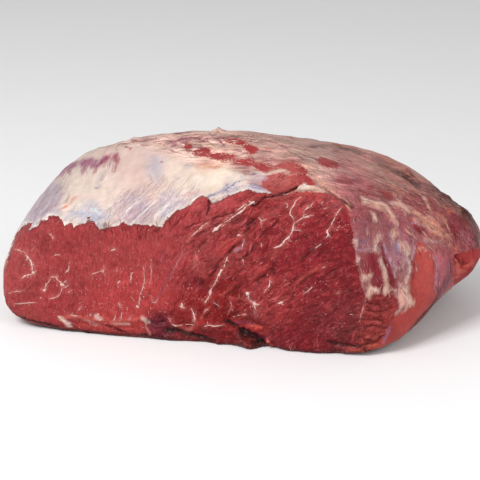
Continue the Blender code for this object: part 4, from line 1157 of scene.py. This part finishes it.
def addPiece(name, places, faces, material, coats):
    # A smooth-shaded mesh object from places in metres, with the coats as attributes of its points.
    mesh = bpy.data.meshes.new(name)
    mesh.from_pydata(places.tolist(), [], faces)
    for label, values in coats.items():
        kind, key = ("FLOAT", "value") if values.ndim == 1 else ("FLOAT_VECTOR", "vector")
        if label.endswith("Tint"):
            kind, key = "FLOAT_COLOR", "color"
            values = np.concatenate((values, np.ones((len(values), 1))), axis=1)
        mesh.attributes.new(label, kind, "POINT").data.foreach_set(key, values.astype(np.float32).ravel())
    mesh.shade_smooth()
    mesh.update()
    mesh.materials.append(material)
    piece = bpy.data.objects.new(name, mesh)
    bpy.context.scene.collection.objects.link(piece)
    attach(piece, "root")
    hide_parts("beef_top_round")


class Wire:
    # One socket's number. Its sums and products add Math nodes, with a number or a wire on either side.
    def __init__(self, recipe, socket):
        self.recipe = recipe
        self.socket = socket

    def __add__(self, other):
        return self.recipe.math("ADD", self, other)

    def __sub__(self, other):
        return self.recipe.math("SUBTRACT", self, other)

    def __rsub__(self, other):
        return self.recipe.math("SUBTRACT", other, self)

    def __mul__(self, other):
        return self.recipe.math("MULTIPLY", self, other)

    def __truediv__(self, other):
        return self.recipe.math("DIVIDE", self, other)

    __radd__ = __add__
    __rmul__ = __mul__

    def size(self):
        return self.recipe.math("ABSOLUTE", self)

    def above(self, level):
        return self.recipe.math("MAXIMUM", self, level)

    def clamp(self):
        return self.recipe.math("ADD", self, 0.0, use_clamp=True)

    def past(self, level, slope):
        # 0 up to the level, rising to 1 by the slope.
        return ((self - level) * slope).clamp()

    def short(self, level, slope):
        # 0 from the level on, rising to 1 by the slope below it.
        return ((level - self) * slope).clamp()

    def near(self, level, slope):
        # 1 at the level, falling to 0 by the slope on either side.
        return (1.0 - (self - level).size() * slope).clamp()


class Recipe:
    # A material's node tree, which ends in one Principled shader.
    def __init__(self, name):
        self.material = bpy.data.materials.new(name)
        self.material.use_nodes = True
        self.tree = self.material.node_tree
        self.shader = self.tree.nodes["Principled BSDF"]

    def fill(self, node, sockets):
        for key, value in sockets.items():
            if isinstance(value, Wire):
                self.tree.links.new(value.socket, node.inputs[key])
            else:
                node.inputs[key].default_value = value

    def node(self, kind, settings, sockets, output=0):
        made = self.tree.nodes.new("ShaderNode" + kind)
        for key, value in settings.items():
            setattr(made, key, value)
        self.fill(made, sockets)
        return Wire(self, made.outputs[output])

    def math(self, operation, first, second=0.0, **settings):
        return self.node("Math", {"operation": operation, **settings}, {0: first, 1: second})

    def blend(self, share, first, second, kind="MIX"):
        settings = {"data_type": "RGBA", "blend_type": kind, "clamp_factor": True}
        return self.node("Mix", settings, {0: share, 6: first, 7: second}, 2)

    def attribute(self, name, output="Fac"):
        return self.node("Attribute", {"attribute_name": name}, {}, output)

    def squeezed(self, places, scale):
        return self.node("Mapping", {}, {"Vector": places, "Scale": scale})

    def places(self, direction=None, stretch=1.0):
        # Object places in millimetres, turned so that the direction is Z and squeezed along it.
        found = self.node("TexCoord", {}, {}, "Object")
        if direction is None:
            return self.squeezed(found, (1000,) * 3)
        turn = np.arctan2(direction[0], direction[2])
        settings = {"rotation_type": "Y_AXIS"}
        turned = self.node("VectorRotate", settings, {"Vector": found, "Angle": -float(turn)})
        return self.squeezed(turned, (1000, 1000, 1000 / stretch))

    def noise(self, places, size, detail=2.0):
        settings = {"noise_dimensions": "3D", "normalize": True}
        sockets = {"Vector": places, "Scale": 1 / size, "Detail": detail}
        return self.node("TexNoise", settings, sockets, "Fac")

    def shaded(self, tint, level):
        # The tint times a number.
        grey = self.node("CombineColor", {}, {0: level, 1: level, 2: level})
        return self.blend(1.0, tint, grey, "MULTIPLY")


def rgba(tone, coat="meat"):
    return tuple(float(c) for c in pigment(tone, coat)) + (1.0,)


# Contrast of the surface's own detail and of its painted glints, and its sheen.
finish = {
    "grain": 1.1,
    "fibre": 1.2,
    "patches": 0.8,
    "gapDarkness": 0.6,
    "rosy": (204, 120, 116),
    "rosyLines": 0.35,
    "glints": 0.2,
    "deep": (96, 26, 32),
    "deepLines": 0.12,
    "deepLinesTurned": 0.2,
    "glintDotColour": (214, 150, 142),
    "glintDots": 0.6,
    "skinStreak": 1.6,
    "skinLine": 1.6,
    "bruise": (0.8, 0.62, 0.7, 1.0),
    "bruises": 0.6,
    "threadLight": 1.45,
    "fatBlush": (224, 182, 178),
    "fatBlushes": 0.3,
    "fatCool": (196, 188, 200),
    "fatCools": 0.35,
    "roughness": 0.42,
    "fatRoughness": 0.45,
}


def meatMaterial():
    r = Recipe("raw beef")
    plain = r.places()
    fine = r.noise(plain, 1.5, 3.0)
    patches = r.noise(plain, 5.0)
    cut = r.attribute("cut")
    turn = r.attribute("turn")
    leftFibre = r.noise(r.places(leftGrain, 4.0), 1.5, 3.0)
    rightFibre = r.noise(r.places(rightGrain, 3.2), 2.4, 3.0)
    fibre = mixed(leftFibre, rightFibre, turn)
    gaps = r.noise(r.places(rightGrain, 3.2), 4.5).near(0.5, 16.0)
    gapMask = gaps * cut * (0.1 + turn * 0.9) * patches.past(0.42, 5.0)
    busy = r.noise(plain, 13.0).past(0.4, 5.0)
    rough = (0.4 + cut * (0.38 + turn * 0.28)) * (0.65 + busy * 0.6)
    grain = (fibre - 0.5) * finish["fibre"] + (fine - 0.5) * finish["grain"]
    grain = grain + (patches - 0.5) * finish["patches"]
    shade = (1.0 + grain * rough) * (1.0 - gapMask * finish["gapDarkness"])
    lean = r.shaded(r.attribute("meatTint", "Color"), shade.above(0.25))
    leftLine = r.noise(r.places(leftGrain, 5.0), 1.0)
    rightLine = r.noise(r.places(rightGrain, 3.0), 1.6)
    meatLine = mixed(leftLine, rightLine, turn)
    rosyLines = meatLine.near(0.55, 26.0) * patches.past(0.44, 7.0) * cut
    lean = r.blend(rosyLines * finish["rosyLines"], lean, rgba(finish["rosy"]))
    deepLines = meatLine.near(0.42, 26.0) * patches.short(0.56, 7.0) * cut
    deepShare = finish["deepLines"] + turn * finish["deepLinesTurned"]
    lean = r.blend(deepLines * deepShare, lean, rgba(finish["deep"]))
    glints = (fine + fibre).past(1.12, 6.0) * cut
    lean = r.blend(glints * finish["glints"], lean, rgba(finish["rosy"]))
    # painted wet glints: small pale dots over the cut face
    cellSpots = r.node("TexVoronoi", {"feature": "F1"}, {"Vector": plain, "Scale": 1 / 4.0}, "Distance")
    glintDots = cellSpots.short(0.14, 12.0) * cut * r.noise(plain, 11.0, 1.0).past(0.48, 9.0)
    lean = r.blend(glintDots * finish["glintDots"], lean, rgba(finish["glintDotColour"]))

    flow = r.attribute("flow", "Vector")
    upright = r.attribute("upright")
    alongStreak = r.noise(r.squeezed(flow, (1 / 7, 1, 1)), 3.0, 3.0)
    downStreak = r.noise(r.places(leftGrain, 5.0), 4.0, 3.0)
    streak = mixed(alongStreak, downStreak, upright)
    alongLine = r.noise(r.squeezed(flow, (1 / 9, 1, 1)), 1.15)
    downLine = r.noise(r.places(leftGrain, 6.0), 1.6)
    line = mixed(alongLine, downLine, upright)
    lines = (line - 0.5) * (finish["skinLine"] - upright * 0.9)
    skinShade = 1.0 + (streak - 0.5) * (finish["skinStreak"] - upright * 0.5) + lines + (fine - 0.5) * 0.7
    skin = r.shaded(r.attribute("skinTint", "Color"), skinShade.above(0.5))
    bruise = r.noise(r.squeezed(flow, (1 / 4, 1, 1)), 6.0, 3.0).past(0.52, 7.0)
    skin = r.blend(bruise * finish["bruises"], skin, finish["bruise"], "MULTIPLY")
    threads = line.near(0.54, 26.0) * streak.past(0.48, 9.0) * patches.past(0.45, 8.0)
    skin = r.blend(threads * (0.8 - upright * 0.5), skin, r.shaded(skin, finish["threadLight"]))

    fatStreak = r.noise(r.places((0.75, 0, 0.66), 7.0), 2.2, 3.0)
    filmy = r.attribute("filmy")
    onCap = r.attribute("cap")
    fatShade = 1.0 + (fatStreak - 0.5) * (0.25 + filmy * 0.7) + (fine - 0.5) * 0.16
    fat = r.shaded(r.attribute("fatTint", "Color"), fatShade)
    blushes = patches.past(0.5, 4.0) * finish["fatBlushes"] * onCap
    fat = r.blend(blushes, fat, rgba(finish["fatBlush"], "fat"))
    cools = r.noise(plain, 8.0).past(0.54, 6.0) * finish["fatCools"] * onCap
    fat = r.blend(cools, fat, rgba(finish["fatCool"], "fat"))

    ragged = (fine - 0.5) * 2.4 + (streak - 0.5) * 1.6
    skinMask = ((r.attribute("skinEdge") + ragged) / 0.8 + 0.5).clamp()
    blur = r.attribute("blur")
    fatRagged = (fine - 0.5) * 2.0 + (fatStreak - 0.5) * 2.4 + (streak - 0.5) * blur * 2.0
    fatMask = ((r.attribute("fatEdge") + fatRagged) / blur + 0.5).clamp()
    colour = r.blend(fatMask, r.blend(skinMask, lean, skin), fat)
    sheen = mixed(finish["roughness"], finish["fatRoughness"], fatMask) + (patches - 0.5) * 0.2
    grainHeight = fibre * 0.7 * cut + fine * 0.5
    height = mixed(mixed(grainHeight, streak * 0.5 + line * 0.3, skinMask), fatStreak * 0.35, fatMask)
    bump = r.node("Bump", {}, {"Strength": 1.0, "Distance": 0.0012, "Height": height})
    r.fill(r.shader, {"Base Color": colour, "Roughness": sheen, "Normal": bump,
                      "Specular IOR Level": 0.15, "Coat Weight": 0.03, "Coat Roughness": 0.2})
    return r.material


marbling = {"pink": (186, 92, 90), "cream": (238, 204, 196), "roughness": 0.45, "rise": 0.4}


def marblingMaterial():
    r = Recipe("marbling")
    fine = r.noise(r.places(), 1.2)
    pale = (r.attribute("pale") + (fine - 0.5) * 1.2).clamp()
    colour = r.blend(pale, rgba(marbling["pink"]), rgba(marbling["cream"]))
    bump = r.node("Bump", {}, {"Strength": 0.6, "Distance": 0.0004, "Height": fine})
    r.fill(r.shader, {"Base Color": colour, "Roughness": marbling["roughness"], "Normal": bump,
                      "Specular IOR Level": 0.25})
    return r.material


def strandMaterial(name):
    r = Recipe(name)
    fine = r.noise(r.places(), 1.3)
    colour = r.shaded(r.attribute("strandTint", "Color"), 0.55 + fine * 0.9)
    bump = r.node("Bump", {}, {"Strength": 0.5, "Distance": 0.0004, "Height": fine})
    r.fill(r.shader, {"Base Color": colour, "Roughness": finish["roughness"], "Normal": bump,
                      "Specular IOR Level": 0.15})
    return r.material


def floorMaterial():
    r = Recipe("pale floor")
    fine = r.noise(r.places(), 40.0)
    colour = r.blend(fine, *studio["floor"])
    r.fill(r.shader, {"Base Color": colour, "Roughness": 0.8, "Specular IOR Level": 0.2})
    return r.material


print("meat: form, coats and relief")
shares, faces = boxFaces(form["cells"], {(1, 1), (2, 0)})
rays = unit(blankPlaces(shares) - heart)
lowest, highest = (np.array(corner) / mm + view["middle"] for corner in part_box("beef_top_round"))
for _ in range(2):
    places, _, coats = finishedPlaces(rays)
    places[:, 2] = np.maximum(places[:, 2], 0.0)
    fit["scale"] = (highest - lowest) / (places.max(0) - places.min(0))
    fit["shift"] = lowest - places.min(0) * fit["scale"]


def toPart(places):
    # Fitted places in metres, in the part's own frame and inside its box.
    return (np.clip(places * fit["scale"] + fit["shift"], lowest, highest) - view["middle"]) * mm


addPiece("meat", toPart(places), faces, meatMaterial(), coats)
print("meat:", len(places), "points,", sum(len(face) - 2 for face in faces), "triangles")


def smoothRoute(route, spacing):
    # Points along a route at about the spacing: a Catmull-Rom curve, the cubic through its neighbours.
    route = np.asarray(route, float)
    ends = np.concatenate((2 * route[:1] - route[1:2], route, 2 * route[-1:] - route[-2:-1]))
    length = np.linalg.norm(np.diff(route, axis=0), axis=1).sum()
    t = np.linspace(0, len(route) - 1, max(int(length / spacing), 4) + 1)
    k = np.minimum(t.astype(int), len(route) - 2)
    s = (t - k)[:, None]
    a, b, c, d = (ends[k + n] for n in range(4))
    return 0.5 * (2 * b + (c - a) * s + (2 * a - 5 * b + 4 * c - d) * s ** 2
                  + (3 * b - a - 3 * c + d) * s ** 3)


longestStride = 1.9  # millimetres along the surface for one pixel
widestMiss = 6.5  # pixels, where the foot of the piece is steep
leastFacing = 0.1  # of the normal along the line to the camera
upwardStep = 2.5  # pixels
ringPoints = 6
ribbonLift = 0.12  # millimetres from the surface to the middle of a ring


def aimed(routes):
    # For routes in pixels: the rays whose fitted places show there, and which routes stay on the visible
    # side and aren't drawn out by a surface that turns away. The step of a trial that misses by more is
    # halved, and an aim that starts below the foot of the piece moves up.
    pixels = np.concatenate(routes)
    aims = pixels.copy()
    trial = pixels.copy()
    step = np.ones((len(pixels), 1))
    gap = np.zeros_like(pixels)
    least = np.full(len(pixels), np.inf)
    for _ in range(10):
        _, _, found, towards = survey(onSkin(trial))
        miss = np.where(towards > 0.0, np.linalg.norm(found - pixels, axis=1), np.inf)
        better = miss < least
        aims[better] = trial[better]
        gap[better] = (pixels - found)[better]
        least[better] = miss[better]
        step[~better] *= 0.5
        aims[np.isinf(least), 1] -= upwardStep
        trial = aims + step * gap
    rays = onSkin(aims)
    place, _, found, towards = survey(rays)
    sizes = np.array([len(route) for route in routes])
    begin = np.cumsum(sizes) - sizes
    stride = np.linalg.norm(np.diff(place, axis=0), axis=1) / np.linalg.norm(np.diff(pixels, axis=0), axis=1)
    stride = np.append(stride, 0.0)
    stride[begin - 1] = 0.0
    missed = np.abs(found - pixels).max(axis=1) > widestMiss
    missed |= (towards < leastFacing) | (stride > longestStride)
    kept = np.add.reduceat(missed, begin, dtype=int) == 0
    return rays[np.repeat(kept, sizes)], kept


def ribbonPiece(name, rays, sizes, widths, rise, material, colouring):
    # Rings of points around a middle c along each run of rays, c + side w cos(p) + normal w h sin(p), half
    # sunk in the surface. The half width w swells as the sine of the way along and wavers with noise, and h
    # is the rise.
    spots, normals, coats = finishedPlaces(rays, ribbonLift)
    starts = np.cumsum([0] + sizes[:-1])
    along = np.concatenate([np.linspace(0, 1, size) for size in sizes])
    number = np.repeat(np.arange(len(sizes)), sizes)
    first = np.zeros(len(rays), bool)
    first[starts] = True
    last = np.roll(first, -1)
    ahead = np.where(last[:, None], spots, np.roll(spots, -1, axis=0))
    behind = np.where(first[:, None], spots, np.roll(spots, 1, axis=0))
    side = unit(np.cross(normals, ahead - behind))
    waver = np.clip(1.0 + 0.8 * noise(spots, 2.6, 40) + 0.5 * noise(spots, 5.5, 42), 0.25, 2.0)
    half = widths[number] * waver * (0.15 + 0.85 * np.sin(np.pi * along) ** 0.5)
    shades = colouring(number, along, spots, coats)
    spots = spots + side * (0.4 * noise(spots, 3.0, 41) + 0.4 * noise(spots, 7.0, 43))[:, None]
    angle = np.arange(ringPoints) * 2 * np.pi / ringPoints
    ring = (spots[:, None] + side[:, None] * (half[:, None] * np.cos(angle))[:, :, None]
            + normals[:, None] * (rise * half[:, None] * np.sin(angle))[:, :, None])
    corner = np.arange(len(rays) * ringPoints).reshape(-1, ringPoints)
    here = corner[~last]
    following = corner[np.flatnonzero(~last) + 1]
    quads = np.stack((here, np.roll(here, -1, axis=1), np.roll(following, -1, axis=1), following), axis=2)
    faces = quads.reshape(-1, 4).tolist() + corner[first][:, ::-1].tolist() + corner[last].tolist()
    triangles = 2 * (len(quads) * ringPoints + len(sizes) * (ringPoints - 2))
    print(name + ":", corner.size, "points,", triangles, "triangles")
    shades = {label: np.repeat(values, ringPoints, axis=0) for label, values in shades.items()}
    addPiece(name, toPart(ring.reshape(-1, 3)), faces, material, shades)


def bentRoute(start, angle, length, bend, spacing):
    # A short curve from a pixel: straight along the angle, with a bow of the bend.
    t = np.linspace(0, 1, 5)[:, None]
    heading = np.array([np.cos(angle), -np.sin(angle)])
    across = np.array([np.sin(angle), np.cos(angle)])
    return smoothRoute(start + length * (heading * t + across * bend * t * (1 - t)), spacing)


print("marbling: veins, twigs and dots")
rng = np.random.default_rng(twig["seed"])
routes = [smoothRoute(route, twig["spacing"]) for _, _, route in veins]
widths = [width for width, _, _ in veins]
paleness = [pale for _, pale, _ in veins]
for width, pale, route in veins:
    run = smoothRoute(route, 1.0)
    for place in rng.choice(len(run) - 1, rng.poisson(twig["perVein"] * len(run) / 20)):
        ahead = run[place + 1] - run[place]
        angle = np.arctan2(-ahead[1], ahead[0])
        angle += rng.choice((-1, 1)) * np.radians(rng.uniform(*twig["branchAngle"]))
        length = rng.uniform(*twig["branchLength"])
        routes.append(bentRoute(run[place], angle, length, rng.normal(0, 0.4), twig["spacing"]))
        widths.append(width * rng.uniform(*twig["branchWidth"]))
        paleness.append(pale * rng.uniform(*twig["branchPale"]))
for count, spread, middle in clusters:
    spots = rng.normal(middle, spread / 1.6, (count, 2))
    spots = spots[inOutline(spots, bareMeat[0]) > twig["inset"]]
    spots = spots[survey(onSkin(spots))[3] > twig["facing"]]
    for spot in spots:
        lean = mixed(*twig["lean"], ramp(spot[0], *zones["grainTurn"]))
        angle = np.radians(lean + rng.normal(0, 30))
        dot = rng.uniform() < twig["dotShare"]
        length = rng.uniform(*twig["dot" if dot else "length"])
        routes.append(bentRoute(spot, angle, length, rng.normal(0, 0.5), twig["spacing"]))
        widths.append(rng.uniform(*twig["halfWidth"]) * (1.5 if dot else 1.0))
        paleness.append(rng.uniform(*twig["pale"]) * (1.2 if dot else 0.8))
veinRays, kept = aimed(routes)
sizes = [len(route) for route, good in zip(routes, kept) if good]
widths, paleness = np.array(widths)[kept], np.array(paleness)[kept]


def veinShade(number, along, spots, coats):
    return {"pale": paleness[number] * np.clip(0.95 + 0.6 * noise(spots, 6.0, 44), 0.3, 1.3)}


ribbonPiece("marbling", veinRays, sizes, widths, marbling["rise"], marblingMaterial(), veinShade)


strand = {
    "rise": 0.22,
    "spacing": 1.35,
    "facing": 0.12,
    "lineSpacing": 1.1,
    "linePart": (0.3, 0.7),
    "widestLine": 2.8,  # pixels of half width
    "hidden": 420,
    "hiddenPoints": 12,
    "hiddenLength": (8, 26),
    "hiddenWidth": (0.3, 0.7),
    "hiddenStrength": (0.3, 0.8),
}


def shown(coats):
    # The colour that shows where the coats lie over each other.
    skin = ramp(coats["skinEdge"], -1.0, 1.0)[:, None]
    fat = ramp(coats["fatEdge"], -1.0, 1.0)[:, None]
    return mixed(mixed(coats["meatTint"], coats["skinTint"], skin), coats["fatTint"], fat)


def hiddenSpots(count):
    # Spots on the skin away from the camera, each with a heading along the body.
    rays = unit(rng.normal(size=(count * 4, 3)))
    place, normal, _, towards = survey(rays)
    keep = (towards < leastFacing) & (np.abs(normal[:, 0]) < 0.8)
    keep &= (place[:, 2] > 8.0) & (normal[:, 2] > -0.3)
    along = np.array([1.0, 0.0, 0.0]) + rng.normal(0, 0.12, (len(rays), 3))
    heading = unit(along - np.sum(along * normal, axis=1)[:, None] * normal)
    return list(zip(onForm(place[keep]), heading[keep]))[:count]


def strandPiece(name, bundles, coat, lines=(), hidden=()):
    # Fine strands, strewn over outlines in the picture, laid in parts along painted lines or put on hidden
    # spots. Their colour fades into the surface at both ends.
    routes, widths, strengths, tints = [], [], [], []
    for count, outline, slant, spread, length, halfWidth, strength, colours in bundles:
        corners = np.array(outline, float)
        spots = rng.uniform(corners.min(0), corners.max(0), (count * 6, 2))
        spots = spots[inOutline(spots, outline) > 0.0][:count]
        spots = spots[survey(onSkin(spots))[3] > strand["facing"]]
        for spot in spots:
            degrees = np.interp(spot[0], *topSlant) if slant is None else slant
            angle = np.radians(degrees + rng.normal(0, spread))
            bent = bentRoute(spot, angle, rng.uniform(*length), rng.normal(0, 0.4), strand["spacing"])
            routes.append(bent)
            widths.append(rng.uniform(*halfWidth))
            strengths.append(rng.uniform(*strength))
            tints.append(pigment(colours[rng.integers(len(colours))], coat))
    for tone, halfWidth, strength, route in lines:
        run = smoothRoute(route, strand["lineSpacing"])
        for _ in range(2 + int(1.2 * halfWidth)):
            begin = rng.integers(0, len(run) // 2)
            part = run[begin:begin + max(int(rng.uniform(*strand["linePart"]) * len(run)), 5)]
            if len(part) < 4:
                continue
            routes.append(part + rng.normal(0, 0.4 * halfWidth, 2))
            widths.append(rng.uniform(0.2, 0.3 + 0.15 * halfWidth))
            strengths.append(strength * rng.uniform(0.6, 1.0))
            tints.append(pigment(tone, coat) * rng.uniform(0.85, 1.15))
    rays, kept = aimed(routes)
    rows = [row for row, good in zip(zip(routes, widths, strengths, tints), kept) if good]
    routes, widths, strengths, tints = (list(column) for column in zip(*rows))
    sizes = [len(route) for route in routes]
    for spot, heading in hidden:
        part = rng.uniform(*strand["hiddenLength"]) * np.linspace(-0.5, 0.5, strand["hiddenPoints"])
        rays = np.concatenate((rays, unit(spot - heart + np.outer(part, heading))))
        sizes.append(len(part))
        widths.append(rng.uniform(*strand["hiddenWidth"]))
        strengths.append(rng.uniform(*strand["hiddenStrength"]))
        tints.append(pigment(topColours[rng.integers(len(topColours))], coat))
    strengths, tints = np.array(strengths), np.array(tints)

    def strandTint(number, along, spots, coats):
        under = shown(coats)
        share = strengths[number] * np.sin(np.pi * along) ** 0.5
        return {"strandTint": mixed(under, tints[number], share[:, None])}

    ribbonPiece(name, rays, sizes, np.array(widths), strand["rise"], strandMaterial(name), strandTint)


print("strands of meat and skin")
strandPiece("meat_fibres", meatStrands, "meat")
strandPiece("skin_strands", skinStrands, "skin")
painted = skinLines + fatLines + meatLines
fineLines = [stroke for stroke in painted if stroke[1] < strand["widestLine"]]
strandPiece("painted_lines", [], "skin", fineLines, hiddenSpots(strand["hidden"]))

print("floor, light and camera")
studio = {
    "world": 0.5,
    "aim": (0.0, 0.0, 0.07),
    "floor": ((0.93, 0.93, 0.94, 1), (0.95, 0.95, 0.95, 1)),
    "floorHalf": 6.0,
    "key": {"place": (-0.7, -1.2, 1.5), "size": 0.8, "power": 27.0},
    "fill": {"place": (1.3, -0.9, 0.9), "size": 1.2, "power": 7.0},
}


def addLight(name, place, size, power):
    light = bpy.data.lights.new(name, "AREA")
    light.size = size
    light.energy = power
    lamp = bpy.data.objects.new(name, light)
    away = unit(np.array(place) - np.array(studio["aim"]))
    across = unit(np.cross((0.0, 0.0, 1.0), away))
    rows = np.stack((across, np.cross(away, across), away), axis=1)
    lamp.matrix_world = Matrix.Translation(place) @ Matrix(rows.tolist()).to_4x4()
    bpy.context.scene.collection.objects.link(lamp)


for name in ("key", "fill"):
    addLight(name, **studio[name])
world = bpy.data.worlds.new("white room")
world.use_nodes = True
world.node_tree.nodes["Background"].inputs["Color"].default_value = (1.0, 1.0, 1.0, 1.0)
world.node_tree.nodes["Background"].inputs["Strength"].default_value = studio["world"]
bpy.context.scene.world = world
bpy.context.scene.view_settings.view_transform = "Standard"

floorMesh = bpy.data.meshes.new("floor")
wide = studio["floorHalf"]
floorCorners = [(-wide, -wide, 0), (wide, -wide, 0), (wide, wide, 0), (-wide, wide, 0)]
floorMesh.from_pydata(floorCorners, [], [(0, 1, 2, 3)])
floorMesh.materials.append(floorMaterial())
floor = bpy.data.objects.new("floor", floorMesh)
bpy.context.scene.collection.objects.link(floor)
floor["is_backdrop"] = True

lens = bpy.data.cameras.new("camera")
lens.lens = view["lens"]
lens.sensor_width = view["sensor"]
camera = bpy.data.objects.new("camera", lens)
rows = np.stack((right, up, back), axis=1)
camera.matrix_world = (Matrix.Translation(((eye - view["middle"]) * mm).tolist())
                       @ Matrix(rows.tolist()).to_4x4())
bpy.context.scene.collection.objects.link(camera)
bpy.context.scene.camera = camera

sizes = {"cad": [list(corner) for corner in cadBox], "visual": [list(corner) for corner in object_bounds()]}
